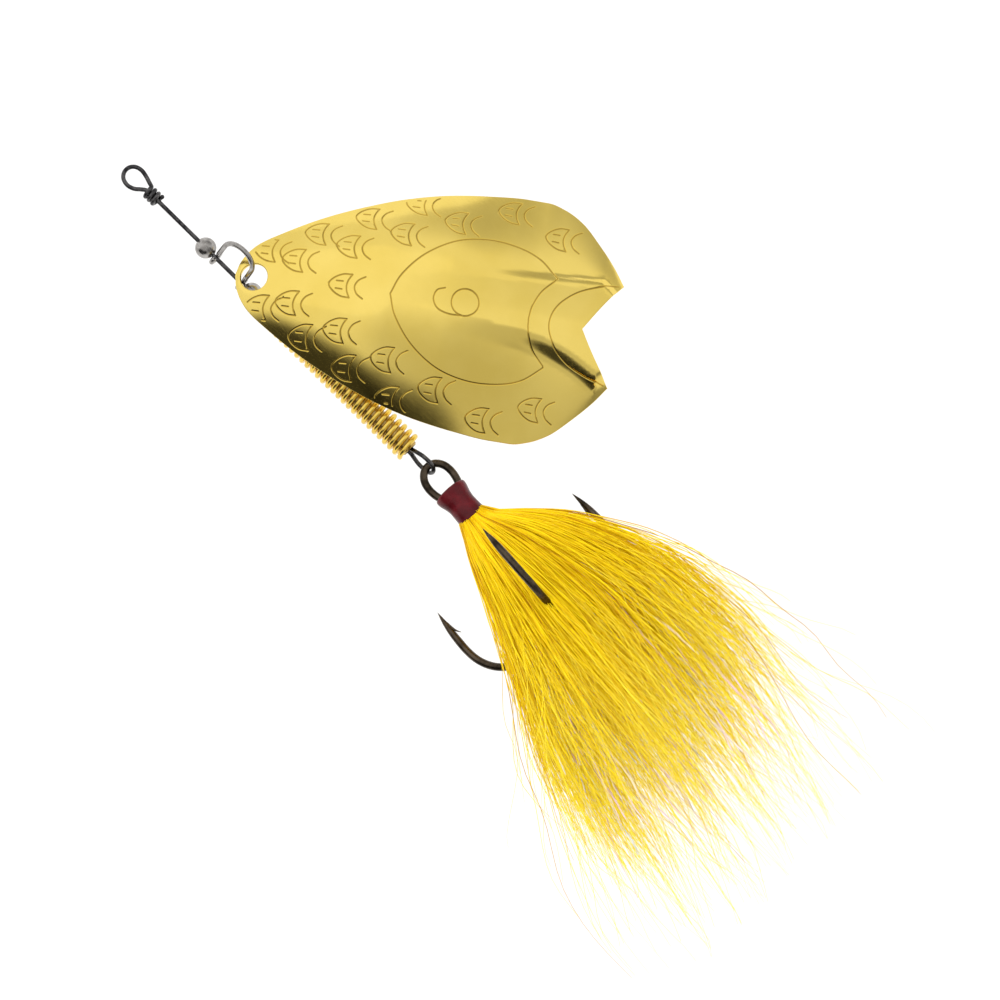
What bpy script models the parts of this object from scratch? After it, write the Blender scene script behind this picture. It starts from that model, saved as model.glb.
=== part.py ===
"""Inline spinner: a weighted, coil-wrapped body and a cupped blade on a through wire, with a dressed treble hook.

Row frame: +X runs from the line tie to the tail, +Y to the left seen from above, +Z up.
The lure lies on a table: line tie, blade rim, two hook points and the lower hair touch z = 0.
"""

import math

import bmesh
import bpy
from mathutils import Matrix, Vector

MM = 0.001

# ---------------------------------------------------------------- driving dimensions, millimetres
ORIGIN = (75.40, 10.70, -0.10)     # station, side and height that become the row's origin
SHAFT_RISE = math.atan(0.0483)    # the wire climbs towards the tail
SHAFT_Z0 = 1.186                  # height of the wire's axis at station 0
SHAFT_R = 0.375                   # through wire
LOOP_MID, LOOP_HALF_WIDTH = 2.45, 1.72
WRAP_START, WRAP_PITCH, WRAP_TURNS, WRAP_R = 5.55, 0.88, 3.0, 0.97
BEAD_R, BORE_R = 1.79, 0.50
UPPER_BEAD_S, LOWER_BEAD_S = 19.05, 29.83
CLEVIS_R = 0.45                   # clevis wire
CLEVIS_S = (21.42, 27.50)         # its two eyelets
CLEVIS_EYE_R = 0.97
CLEVIS_REACH = 7.65
CLEVIS_TILT = math.radians(57)    # its bow stands this far above the horizontal
BODY_S = (31.80, 67.17)           # coil body
COIL_R, COIL_MID_R, COIL_TURNS = 0.44, 2.14, 28.5
CORE_R, TAIL_BORE_R, TAIL_BORE_S = 1.50, 1.30, 56.5
U_MID, U_HALF, U_TILT = 70.75, 1.65, math.radians(62)
BLADE_HOLE = (28.43, 2.07, 4.45)  # station, side and height of the hole on the rim plane
BLADE_YAW = math.radians(35.17)
BLADE_FALL, BLADE_LEAN = 0.012, 0.17
BLADE_T, BLADE_HOLE_R = 0.80, 2.25
NOTCH_U, TAIL_U, TAIL_V = 55.3, 61.0, 8.5
HOOK_EYE = (74.10, -0.15, 5.27)
HOOK_YAW, HOOK_PITCH = math.radians(-3.9), math.radians(12.4)
HOOK_R = 0.667
HOOK_EYE_HALF = (3.13, 2.42)
HOOK_BEND_X, HOOK_BEND_MID, HOOK_BEND_R = 22.7, 9.15, 8.80
HOOK_POINT = (14.8, 17.33)
SLEEVE_X = (2.60, 8.80)
HAIR_ROOT, HAIR_LENGTH = 9.15, 66.5


# ---------------------------------------------------------------- scene and helpers
for old in list(bpy.data.objects):
    bpy.data.objects.remove(old, do_unlink=True)

parts = bpy.data.collections.new("inline_spinner")
tools = bpy.data.collections.new("cutters")
for collection in (parts, tools):
    bpy.context.scene.collection.children.link(collection)
tools.hide_render = True


def material(name, colour, roughness, metallic):
    made = bpy.data.materials.new(name)
    made.use_nodes = True
    shader = made.node_tree.nodes["Principled BSDF"]
    shader.inputs["Base Color"].default_value = (*colour, 1.0)
    shader.inputs["Roughness"].default_value = roughness
    shader.inputs["Metallic"].default_value = metallic
    return made


BLACK_NICKEL = material("black_nickel", (0.10, 0.095, 0.10), 0.32, 1.0)
SILVER = material("nickel", (0.62, 0.60, 0.58), 0.18, 1.0)
GOLD = material("polished_gold", (0.83, 0.62, 0.17), 0.10, 1.0)
GOLD_WIRE = material("gold_wire", (0.80, 0.58, 0.16), 0.16, 1.0)
BRASS = material("brass", (0.62, 0.47, 0.20), 0.35, 1.0)
BRONZE = material("bronze_black", (0.13, 0.11, 0.09), 0.30, 1.0)
MAROON = material("maroon_tube", (0.15, 0.012, 0.02), 0.25, 0.0)
THREAD = material("red_thread", (0.35, 0.02, 0.03), 0.7, 0.0)
YELLOW = material("yellow_hair", (0.90, 0.62, 0.03), 0.6, 0.0)
PEARL = material("pearl_flash", (0.85, 0.80, 0.78), 0.2, 0.0)


def frame_at(origin, x_axis, up):
    """A right-handed frame with its X along x_axis and its Z as near up as it can be."""
    x = Vector(x_axis).normalized()
    y = Vector(up).cross(x).normalized()
    z = x.cross(y)
    rot = Matrix((x, y, z)).transposed().to_4x4()
    place = Vector((origin[0] - ORIGIN[0], origin[1] - ORIGIN[1], origin[2] - ORIGIN[2]))
    return Matrix.Translation(place * MM) @ rot


shaft_x = (math.cos(SHAFT_RISE), 0.0, math.sin(SHAFT_RISE))
SHAFT = frame_at((0.0, 0.0, SHAFT_Z0), shaft_x, (0, 0, 1))
hook_x = (
    math.cos(HOOK_YAW) * math.cos(HOOK_PITCH),
    math.sin(HOOK_YAW) * math.cos(HOOK_PITCH),
    math.sin(HOOK_PITCH),
)
HOOK = frame_at(HOOK_EYE, hook_x, (0, 0, 1))
blade_u = Vector((math.cos(BLADE_YAW), math.sin(BLADE_YAW), 0.0))
blade_v = Vector((-math.sin(BLADE_YAW), math.cos(BLADE_YAW), 0.0))
blade_up = blade_u * BLADE_FALL + blade_v * BLADE_LEAN + Vector((0, 0, 1))
BLADE = frame_at(BLADE_HOLE, blade_u - Vector((0, 0, BLADE_FALL)), blade_up)


def put(obj, frame, at=(0, 0, 0)):
    """Places an object whose data is in millimetres-as-metres, drawn about the point `at` of the frame."""
    obj.matrix_world = frame @ Matrix.Translation(Vector(at) * MM)
    parts.objects.link(obj)
    return obj


def polyline(name, points, radius, frame, mat, at=(0, 0, 0), radii=None, res=2, cyclic=False):
    data = bpy.data.curves.new(name, "CURVE")
    data.dimensions = "3D"
    data.bevel_depth = radius * MM
    data.bevel_resolution = res
    data.use_fill_caps = not cyclic
    spline = data.splines.new("POLY")
    spline.points.add(len(points) - 1)
    for i, p in enumerate(points):
        spline.points[i].co = (*((Vector(p) - Vector(at)) * MM), 1.0)
        spline.points[i].radius = radii[i] if radii else 1.0
    spline.use_cyclic_u = cyclic
    spline.use_smooth = True
    data.materials.append(mat)
    return put(bpy.data.objects.new(name, data), frame, at)


def mesh_of(obj):
    """Turns a curve object into a mesh object with its caps welded."""
    name, where, mat = obj.name, obj.matrix_world.copy(), obj.data.materials[0]
    bpy.context.view_layer.update()
    graph = bpy.context.evaluated_depsgraph_get()
    mesh = bpy.data.meshes.new_from_object(obj.evaluated_get(graph))
    bm = bmesh.new()
    bm.from_mesh(mesh)
    bmesh.ops.remove_doubles(bm, verts=bm.verts, dist=1e-6)
    bm.to_mesh(mesh)
    bm.free()
    bpy.data.objects.remove(obj, do_unlink=True)
    mesh.materials.clear()
    mesh.materials.append(mat)
    made = bpy.data.objects.new(name, mesh)
    made.matrix_world = where
    parts.objects.link(made)
    return made


def smooth_path(knots, per=4):
    """A Catmull-Rom path through the knots."""
    pts = [Vector(k) for k in knots]
    ends = [pts[0] * 2 - pts[1]] + pts + [pts[-1] * 2 - pts[-2]]
    out = []
    for i in range(1, len(ends) - 2):
        a, b, c, d = ends[i - 1 : i + 3]
        for j in range(per):
            t = j / per
            out.append(
                0.5
                * (
                    2 * b
                    + (c - a) * t
                    + (2 * a - 5 * b + 4 * c - d) * t * t
                    + (3 * b - 3 * c + d - a) * t**3
                )
            )
    out.append(pts[-1])
    return out


def station(table, x):
    """Smooth reading of a table of (x, value) stations, with monotone-limited slopes."""
    xs, ys = [a for a, _ in table], [b for _, b in table]
    if x <= xs[0]:
        return ys[0]
    if x >= xs[-1]:
        return ys[-1]
    k = max(i for i in range(len(xs) - 1) if xs[i] <= x)
    d = [(ys[i + 1] - ys[i]) / (xs[i + 1] - xs[i]) for i in range(len(xs) - 1)]

    def slope(i):
        if i == 0:
            return d[0]
        if i == len(xs) - 1:
            return d[-1]
        return 0.0 if d[i - 1] * d[i] <= 0 else 2 * d[i - 1] * d[i] / (d[i - 1] + d[i])

    h = xs[k + 1] - xs[k]
    t = (x - xs[k]) / h
    return (
        ys[k] * (2 * t**3 - 3 * t * t + 1)
        + ys[k + 1] * (3 * t * t - 2 * t**3)
        + slope(k) * h * (t**3 - 2 * t * t + t)
        + slope(k + 1) * h * (t**3 - t * t)
    )


def turned(name, profile, frame, at, mat, steps=24):
    """A ring turned about the frame's X axis. The profile is (radius, along) in mm, down its outer side first."""
    mesh = bpy.data.meshes.new(name)
    count = len(profile)
    mesh.from_pydata(
        [(r * MM, 0.0, a * MM) for r, a in profile],
        [(i, (i + 1) % count) for i in range(count)],
        [],
    )
    mesh.materials.append(mat)
    obj = bpy.data.objects.new(name, mesh)
    screw = obj.modifiers.new("Turn", "SCREW")
    screw.axis, screw.angle, screw.screw_offset = "Z", math.tau, 0.0
    screw.steps = screw.render_steps = steps
    screw.use_merge_vertices, screw.merge_threshold = True, 1e-6
    screw.use_smooth_shade = True
    # the turning axis, local +Z, points down the frame's +X
    obj.matrix_world = frame @ Matrix.Translation(Vector(at) * MM) @ Matrix.Rotation(math.pi / 2, 4, "Y")
    parts.objects.link(obj)
    return obj


def loft(name, rings, frame, mat, at=(0, 0, 0)):
    """A closed body through rings of equal count, capped by a point at each end."""
    bm = bmesh.new()
    rows = [[bm.verts.new((Vector(p) - Vector(at)) * MM) for p in ring] for ring in rings]
    n = len(rows[0])
    for a, b in zip(rows, rows[1:]):
        for i in range(n):
            bm.faces.new((a[i], a[(i + 1) % n], b[(i + 1) % n], b[i]))
    for row, flip in ((rows[0], True), (rows[-1], False)):
        hub = bm.verts.new(sum((v.co for v in row), Vector()) / n)
        for i in range(n):
            tri = (row[i], row[(i + 1) % n], hub)
            bm.faces.new(tri[::-1] if flip else tri)
    bmesh.ops.recalc_face_normals(bm, faces=bm.faces)
    mesh = bpy.data.meshes.new(name)
    bm.to_mesh(mesh)
    bm.free()
    mesh.shade_smooth()
    mesh.materials.append(mat)
    return put(bpy.data.objects.new(name, mesh), frame, at)


# ---------------------------------------------------------------- through wire
def u_point(s, q):
    return Vector((s, q * math.cos(U_TILT), q * math.sin(U_TILT)))


tail_leg = smooth_path(
    [u_point(TAIL_BORE_S + 1.2, -0.84), u_point(67.2, -0.84), u_point(68.3, -1.14), u_point(69.5, -1.56), u_point(U_MID, -U_HALF)], 2
)
u_turn = [
    u_point(U_MID + U_HALF * math.cos(a), U_HALF * math.sin(a))
    for a in (math.radians(-90 + 180 * i / 10) for i in range(1, 10))
]
main_leg = smooth_path(
    [u_point(U_MID, U_HALF), u_point(69.5, 1.52), u_point(68.3, 0.98), u_point(67.2, 0.38), u_point(66.0, 0.05), u_point(64.8, 0.0)], 2
)
# line tie: a teardrop in the plane of the table, then three close turns back round the wire
tie = smooth_path(
    [
        (6.4, 0.0, 0.0),
        (5.3, -0.05, 0.0),
        (4.45, -0.62, 0.0),
        (3.5, -1.38, 0.0),
        (2.3, -LOOP_HALF_WIDTH, 0.0),
        (1.1, -1.42, 0.0),
        (0.42, -0.55, 0.0),
        (0.42, 0.50, 0.0),
        (1.1, 1.38, 0.0),
        (2.3, LOOP_HALF_WIDTH, 0.04),
        (3.6, 1.50, 0.08),
        (4.7, 1.14, 0.05),
    ],
    3,
)
wraps = []
for i in range(int(12 * WRAP_TURNS) + 1):
    a = math.tau * i / 12
    wraps.append(Vector((WRAP_START + WRAP_PITCH * i / 12, WRAP_R * math.cos(a), WRAP_R * math.sin(a))))
shaft_path = tail_leg + u_turn + main_leg + tie + wraps
polyline("shaft_wire", shaft_path, SHAFT_R, SHAFT, BLACK_NICKEL)


# ---------------------------------------------------------------- beads, weight and coil on the wire
def bead_profile():
    edge = math.asin(BORE_R / BEAD_R)
    outer = []
    for i in range(13):
        a = edge + (math.pi - 2 * edge) * i / 12
        outer.append((BEAD_R * math.sin(a), BEAD_R * math.cos(a)))
    return outer


for name, s in (("upper_bead", UPPER_BEAD_S), ("lower_bead", LOWER_BEAD_S)):
    turned(name, bead_profile(), SHAFT, (s, 0, 0), SILVER, 20)

BODY_MID = (BODY_S[0] + BODY_S[1]) / 2
core_a, core_b = BODY_S[0] + 0.15 - BODY_MID, BODY_S[1] - 0.10 - BODY_MID
step = TAIL_BORE_S - BODY_MID
turned(
    "body_weight",
    [
        (CORE_R - 0.2, core_b),
        (CORE_R, core_b - 0.2),
        (CORE_R, core_a + 0.3),
        (CORE_R - 0.3, core_a),
        (BORE_R, core_a),
        (BORE_R, step - 0.8),
        (TAIL_BORE_R, step),
        (TAIL_BORE_R, core_b),
    ],
    SHAFT,
    (BODY_MID, 0, 0),
    BRASS,
    20,
)

coil = []
coil_run = BODY_S[1] - BODY_S[0] - 2 * COIL_R
for i in range(int(10 * COIL_TURNS) + 1):
    a = math.tau * i / 10
    x = BODY_S[0] + COIL_R + coil_run * i / (10 * COIL_TURNS)
    coil.append((x, COIL_MID_R * math.cos(a), COIL_MID_R * math.sin(a)))
polyline("body_coil", coil, COIL_R, SHAFT, GOLD_WIRE, at=(BODY_MID, 0, 0))


# ---------------------------------------------------------------- clevis: an eyelet, a bow and an eyelet in one wire
def round_shaft(s, radius, angle):
    """A point round the wire, its angle counted from the bow's direction."""
    a = CLEVIS_TILT + angle
    return Vector((s, radius * math.cos(a), radius * math.sin(a)))


def eyelet(s):
    ring = [round_shaft(s, CLEVIS_EYE_R, math.radians(52 + 26 * i)) for i in range(12)]
    return ring + [round_shaft(s, 1.22, math.radians(352)), round_shaft(s, 1.8, 0.0)]


bow_mid = (CLEVIS_S[0] + CLEVIS_S[1]) / 2
bow_r = (CLEVIS_S[1] - CLEVIS_S[0]) / 2
bow_base = CLEVIS_REACH - bow_r
bow = [
    round_shaft(bow_mid - bow_r * math.cos(a), bow_base + bow_r * math.sin(a), 0.0)
    for a in (math.pi * i / 14 for i in range(15))
]
clevis_path = smooth_path(eyelet(CLEVIS_S[0]), 1) + bow + smooth_path(eyelet(CLEVIS_S[1]), 1)[::-1]
polyline("clevis", clevis_path, CLEVIS_R, SHAFT, SILVER, at=(bow_mid, 0, 0))


# ---------------------------------------------------------------- blade
HALF_WIDTH = [
    (-3.0, 0.0), (-2.75, 1.6), (-2.3, 2.75), (-1.5, 4.1), (0.0, 5.7), (3.3, 7.9), (10.0, 11.7), (16.7, 14.7),
    (23.3, 17.1), (30.0, 18.8), (36.7, 19.8), (43.0, 20.35), (46.5, 20.35), (49.5, 19.6), (52.5, 18.0),
    (56.0, 14.7), (59.0, 11.3), (TAIL_U, TAIL_V),
]
SPINE_HEIGHT = [(-3.0, 0.15), (0.0, 1.05), (6.0, 3.0), (14.0, 5.0), (23.0, 6.2), (32.0, 6.3), (41.0, 5.5), (50.0, 3.9), (56.0, 2.8), (61.0, 1.9)]
WIDEN = 1 / math.cos(math.atan(BLADE_LEAN))


def blade_height(u, v):
    """Height of the blade's middle surface over its rim plane: a dome in front, a ridge at the tail."""
    half = max(station(HALF_WIDTH, u), 0.3) * WIDEN
    q = min(abs(v) / half, 1.0)
    ridge = min(max((u - 22.0) / 34.0, 0.0), 1.0)
    power = 2.3 - 0.9 * ridge
    return station(SPINE_HEIGHT, u) * (1 - q**power)


def blade_outline():
    """Rows from the nose to the tail edge: (spine u, rim u, rim v). The last row is one side of the notch."""
    rows = []
    count = 24
    for i in range(count + 1):
        u = -3.0 + (TAIL_U + 3.0) * (1 - math.cos(math.pi * i / count)) / 2
        spine = -3.0 + (NOTCH_U + 3.0) * (u + 3.0) / (TAIL_U + 3.0)
        rows.append((spine, u, station(HALF_WIDTH, u) * WIDEN))
    return rows


def blade_mesh():
    bm = bmesh.new()
    across = 7
    rows = blade_outline()
    spine, sides = [], {1: [], -1: []}
    for k, (us, ur, vr) in enumerate(rows):
        hub = bm.verts.new((us * MM, 0.0, blade_height(us, 0.0) * MM))
        spine.append(hub)
        for sign in (1, -1):
            line = [hub]
            if k > 0:
                bow = 0.6 * (k / (len(rows) - 1)) ** 10
                for j in range(1, across + 1):
                    f = j / across
                    u, v = us + (ur - us) * f - bow * math.sin(math.pi * f), vr * f
                    line.append(bm.verts.new((u * MM, sign * v * MM, blade_height(u, v) * MM)))
            sides[sign].append(line)
    for sign in (1, -1):
        lines = sides[sign]
        for a, b in zip(lines, lines[1:]):
            if len(a) == 1:
                quads = [(a[0], b[j], b[j + 1]) for j in range(across)]
            else:
                quads = [(a[j], b[j], b[j + 1], a[j + 1]) for j in range(across)]
            for q in quads:
                bm.faces.new(q if sign > 0 else q[::-1])
    bmesh.ops.recalc_face_normals(bm, faces=bm.faces)
    if sum(f.normal.z for f in bm.faces) < 0:
        bmesh.ops.reverse_faces(bm, faces=bm.faces)
    mesh = bpy.data.meshes.new("blade")
    bm.to_mesh(mesh)
    bm.free()
    mesh.shade_smooth()
    mesh.materials.append(GOLD)
    return mesh


blade = put(bpy.data.objects.new("blade", blade_mesh()), BLADE)
shell = blade.modifiers.new("Sheet", "SOLIDIFY")
shell.thickness, shell.offset, shell.use_even_offset = BLADE_T * MM, 0.0, True
bpy.ops.mesh.primitive_cylinder_add(vertices=28, radius=BLADE_HOLE_R * MM, depth=8 * MM)
punch = bpy.context.active_object
punch.name = "blade_hole_punch"
for holder in list(punch.users_collection):
    holder.objects.unlink(punch)
tools.objects.link(punch)
punch.hide_render, punch.display_type = True, "WIRE"
nose_slope = math.atan2(station(SPINE_HEIGHT, 1.5) - station(SPINE_HEIGHT, -1.5), 3.0)
punch.matrix_world = BLADE @ Matrix.Translation((0, 0, 1.05 * MM)) @ Matrix.Rotation(-nose_slope, 4, "Y")
cut = blade.modifiers.new("Hole", "BOOLEAN")
cut.operation, cut.object, cut.solver = "DIFFERENCE", punch, "EXACT"


# ---------------------------------------------------------------- treble hook
def hook_arm(azimuth, foot):
    """From the shank's foot, round the bend and along the spear to the point."""
    out = Vector((0.0, math.cos(azimuth), math.sin(azimuth)))
    base = Vector((0.0, foot[0], foot[1]))
    pts, radii = [], []
    for i in range(0, 15):
        a = math.radians(-90 + 180 * i / 14)
        r = HOOK_BEND_MID + HOOK_BEND_R * math.sin(a)
        blend = min(max(i / 5.0, 0.0), 1.0)
        lateral = base * (1 - blend) + out * r * blend
        if i < 5:
            lateral = base * (1 - blend) ** 2 + out * (r - 0.35 * (1 - blend))
        pts.append(Vector((HOOK_BEND_X + HOOK_BEND_R * math.cos(a), 0, 0)) + lateral)
        radii.append(1.0)
    top = HOOK_BEND_MID + HOOK_BEND_R
    px, pr = HOOK_POINT
    for f, size in ((0.25, 0.98), (0.5, 0.86), (0.72, 0.62), (0.9, 0.30), (1.0, 0.06)):
        x = HOOK_BEND_X + (px - HOOK_BEND_X) * f
        r = top + (pr - top) * f * f
        pts.append(Vector((x, 0, 0)) + out * r)
        radii.append(size)
    return pts, radii


LEG = 0.72           # half the distance between the doubled wire's two legs
LEG_Z, SINGLE_Z = -0.42, 0.80
arms = {}
for key, degrees, foot in (
    ("left", 210, (-LEG, LEG_Z)),
    ("right", 330, (LEG, LEG_Z)),
    ("up", 90, (0.0, SINGLE_Z)),
):
    arms[key] = hook_arm(math.radians(degrees), foot)

half_l, half_w = HOOK_EYE_HALF
neck = [
    (19.0, LEG, LEG_Z), (14.0, LEG, LEG_Z), (9.0, LEG, LEG_Z), (6.6, LEG + 0.06, LEG_Z), (5.0, 1.08, LEG_Z * 0.8),
    (3.4, 1.62, LEG_Z * 0.5), (1.9, 2.18, LEG_Z * 0.2), (0.4, half_w, 0.0),
]
front = [
    (-half_l * math.sin(a), half_w * math.cos(a), 0.0)
    for a in (math.radians(18 * i) for i in range(1, 10))
]
ring = [Vector(p) for p in neck + front] + [Vector((x, -y, z)) for x, y, z in neck[::-1]]
right_pts, right_r = arms["right"]
left_pts, left_r = arms["left"]
double_path = right_pts[::-1] + ring + left_pts
double_radii = right_r[::-1] + [1.0] * len(ring) + left_r
hook_pin = (U_MID + U_HALF - HOOK_EYE[0], 0.0, 0.0)


def barb(azimuth):
    """A small cone that leaves the spear's inner side and points back down the hook."""
    out = Vector((0.0, math.cos(azimuth), math.sin(azimuth)))
    start = Vector((17.3, 0, 0)) + out * (HOOK_POINT[1] + 0.12)
    tip = Vector((21.2, 0, 0)) + out * (HOOK_POINT[1] - 1.05)
    bm = bmesh.new()
    bmesh.ops.create_cone(
        bm, cap_ends=True, segments=8, radius1=0.42 * MM, radius2=0.03 * MM, depth=(tip - start).length * MM
    )
    mesh = bpy.data.meshes.new("barb_tool")
    bm.to_mesh(mesh)
    bm.free()
    obj = bpy.data.objects.new("barb_tool", mesh)
    tools.objects.link(obj)
    turn = Vector((0, 0, 1)).rotation_difference((tip - start).normalized()).to_matrix().to_4x4()
    obj.matrix_world = HOOK @ Matrix.Translation((start + tip) / 2 * MM) @ turn
    obj.hide_render, obj.display_type = True, "WIRE"
    return obj


def join_barbs(obj, azimuths):
    for k, azimuth in enumerate(azimuths):
        add = obj.modifiers.new(f"Barb {k}", "BOOLEAN")
        add.operation, add.object, add.solver = "UNION", barb(math.radians(azimuth)), "EXACT"


double = mesh_of(polyline("hook_double", double_path, HOOK_R, HOOK, BRONZE, at=hook_pin, radii=double_radii))
join_barbs(double, (210, 330))
up_pts, up_r = arms["up"]
single_path = [Vector((x, 0.0, SINGLE_Z)) for x in (7.2, 12.0, 19.0)] + up_pts
single = mesh_of(
    polyline("hook_single", single_path, HOOK_R, HOOK, BRONZE, at=hook_pin, radii=[0.8, 1.0, 1.0] + up_r)
)
join_barbs(single, (90,))


# ---------------------------------------------------------------- sleeve and thread binding on the shank
SLEEVE_MID = (SLEEVE_X[0] + SLEEVE_X[1]) / 2
half = (SLEEVE_X[1] - SLEEVE_X[0]) / 2
outer = [(2.62, half), (2.52, half - 1.2), (2.42, 0.2), (2.55, -half + 2.2), (3.0, -half + 0.25), (2.95, -half)]
inner = [(2.74, -half), (2.28, -half + 2.2), (2.14, 0.4), (2.14, half)]
turned("shank_sleeve", outer + inner, HOOK, (SLEEVE_MID, 0, 0), MAROON, 28)
turned(
    "thread_binding",
    [(1.95, 0.9), (2.02, 0.5), (2.02, -0.5), (1.95, -0.9), (1.72, -0.9), (1.72, 0.9)],
    HOOK,
    (7.4, 0, 0.0),
    THREAD,
    24,
)


# ---------------------------------------------------------------- hair: six tufts between the hook arms, and three bundles of flash
FAN = [
    (0.0, 3.05), (4.0, 5.7), (12.0, 10.3), (18.0, 13.4), (25.0, 16.6), (34.0, 19.6), (42.0, 20.8), (50.0, 20.8), (58.0, 19.2), (66.5, 15.5),
]


def hair_centre(x, azimuth, share):
    """Hook-frame point of a tuft's centre, pressed flat where it meets the table."""
    reach = station(FAN, x - HAIR_ROOT) * share
    drift, droop = 0.0016 * max(x - 30.0, 0.0) ** 2, 0.0022 * max(x - 33.0, 0.0) ** 2
    return Vector((x, reach * math.cos(azimuth) - drift, reach * math.sin(azimuth) * 0.92 - droop))


def table_height(point):
    return (HOOK @ (point * MM)).z / MM


def tuft(name, degrees, mat, share, radial, tangential, x0, length, count=12, sections=13):
    azimuth = math.radians(degrees)
    rings = []
    for k in range(sections):
        t = k / (sections - 1)
        x = x0 + length * t
        fan = station(FAN, x - HAIR_ROOT)
        shrink = math.sqrt(max(1 - (max(t - 0.72, 0.0) / 0.30) ** 2, 0.02)) * (0.80 + 0.20 * min(t / 0.12, 1.0))
        centre = hair_centre(x, azimuth, share)
        a, b = max(fan * radial * shrink, 0.22), max(fan * tangential * shrink, 0.22)
        out = Vector((0, math.cos(azimuth), math.sin(azimuth)))
        along = Vector((0, -math.sin(azimuth), math.cos(azimuth)))
        vertical = math.hypot(a * math.sin(azimuth), b * math.cos(azimuth))
        low = table_height(centre) - vertical * math.cos(HOOK_PITCH)
        if low < 0.05:
            centre = centre + Vector((0, 0, (0.05 - low) / math.cos(HOOK_PITCH)))
        rings.append(
            [
                centre + out * a * math.cos(math.tau * i / count) + along * b * math.sin(math.tau * i / count)
                for i in range(count)
            ]
        )
    return loft(name, rings, HOOK, mat, at=hook_pin)


TUFTS = (
    ("hair_left", 0), ("hair_upper_left", 60), ("hair_upper_right", 120),
    ("hair_right", 180), ("hair_lower_right", 240), ("hair_lower_left", 300),
)
for name, degrees in TUFTS:
    low = degrees > 200
    tuft(name, degrees, YELLOW, 0.68, 0.19 if low else 0.30, 0.205, HAIR_ROOT, HAIR_LENGTH)
for name, degrees, share in (("flash_left", 30, 0.62), ("flash_right", 150, 0.62), ("flash_lower", 270, 0.60)):
    tuft(name, degrees, PEARL, share, 0.045, 0.030, HAIR_ROOT, HAIR_LENGTH - 3.0, 8, 11)
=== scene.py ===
"""Looks for the inline spinner: detailed pieces, materials, light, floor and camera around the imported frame."""

import math

import bpy
import numpy as np
from mathutils import Matrix, Vector, kdtree
from mathutils.geometry import delaunay_2d_cdt


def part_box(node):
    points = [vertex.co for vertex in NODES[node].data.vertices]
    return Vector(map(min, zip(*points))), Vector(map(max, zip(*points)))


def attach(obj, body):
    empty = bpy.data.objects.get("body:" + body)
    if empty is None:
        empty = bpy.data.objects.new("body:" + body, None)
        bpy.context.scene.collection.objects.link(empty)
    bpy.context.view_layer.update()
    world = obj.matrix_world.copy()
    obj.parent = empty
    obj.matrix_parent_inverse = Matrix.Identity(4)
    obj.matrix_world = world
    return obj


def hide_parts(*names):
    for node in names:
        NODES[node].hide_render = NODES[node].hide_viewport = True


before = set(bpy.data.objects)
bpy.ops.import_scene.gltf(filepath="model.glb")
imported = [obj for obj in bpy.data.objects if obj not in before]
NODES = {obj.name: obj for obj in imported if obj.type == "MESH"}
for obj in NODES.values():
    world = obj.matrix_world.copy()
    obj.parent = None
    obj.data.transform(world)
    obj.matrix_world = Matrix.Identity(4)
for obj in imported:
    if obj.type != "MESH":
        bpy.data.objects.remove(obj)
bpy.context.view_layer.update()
MM = 0.001

# ---------------------------------------------------------------- the CAD's driving dimensions, millimetres
SHAFT_RISE = math.atan(0.0483)
SHAFT_Z0 = 1.186
SHAFT_R = 0.375
LOOP_HALF_WIDTH = 1.72
WRAP_START, WRAP_PITCH, WRAP_TURNS, WRAP_R = 5.40, 0.82, 3.0, 0.97
BEAD_R, BORE_R = 1.79, 0.50
UPPER_BEAD_S, LOWER_BEAD_S = 19.05, 29.83
CLEVIS_R = 0.45
CLEVIS_S = (21.42, 27.50)
CLEVIS_EYE_R = 0.97
CLEVIS_REACH = 7.65
CLEVIS_TILT = math.radians(57)
BODY_S = (31.80, 67.17)
COIL_R, COIL_MID_R, COIL_TURNS = 0.44, 2.14, 28.5
TAIL_BORE_S = 56.5
U_MID, U_HALF, U_TILT = 70.75, 1.65, math.radians(62)
BLADE_HOLE = (28.43, 2.07, 4.45)
BLADE_YAW = math.radians(35.17)
BLADE_FALL, BLADE_LEAN = 0.012, 0.17
BLADE_T, BLADE_HOLE_R = 0.80, 2.25
NOTCH_U, TAIL_U, TAIL_V = 55.3, 61.0, 8.5
HOOK_EYE = (74.10, -0.15, 5.27)
HOOK_YAW, HOOK_PITCH = math.radians(-3.9), math.radians(12.4)
HOOK_R = 0.667
HOOK_EYE_HALF = (3.13, 2.42)
HOOK_BEND_X, HOOK_BEND_MID, HOOK_BEND_R = 22.7, 9.15, 8.80
HOOK_POINT = (14.8, 17.33)
SLEEVE_X = (2.60, 8.80)
HAIR_ROOT, HAIR_LENGTH = 9.15, 66.5

SHAFT_X = np.array((math.cos(SHAFT_RISE), 0.0, math.sin(SHAFT_RISE)))
# The row's origin in station coordinates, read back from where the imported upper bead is.
bead_lo, bead_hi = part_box("upper_bead")
ORIGIN = np.array((0, 0, SHAFT_Z0)) + UPPER_BEAD_S * SHAFT_X - np.array((bead_lo + bead_hi) / 2) / MM
ORIGIN = np.round(ORIGIN, 2)


def frame_at(origin, x_axis, up):
    """(origin, 3x3 with the axes as rows) in row millimetres."""
    x = np.array(x_axis, float)
    x /= np.linalg.norm(x)
    y = np.cross(np.array(up, float), x)
    y /= np.linalg.norm(y)
    return np.array(origin, float) - ORIGIN, np.array((x, y, np.cross(x, y)))


def to_row(where, points):
    """Frame points in millimetres to row points in millimetres."""
    return where[0] + np.asarray(points, float) @ where[1]


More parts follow.
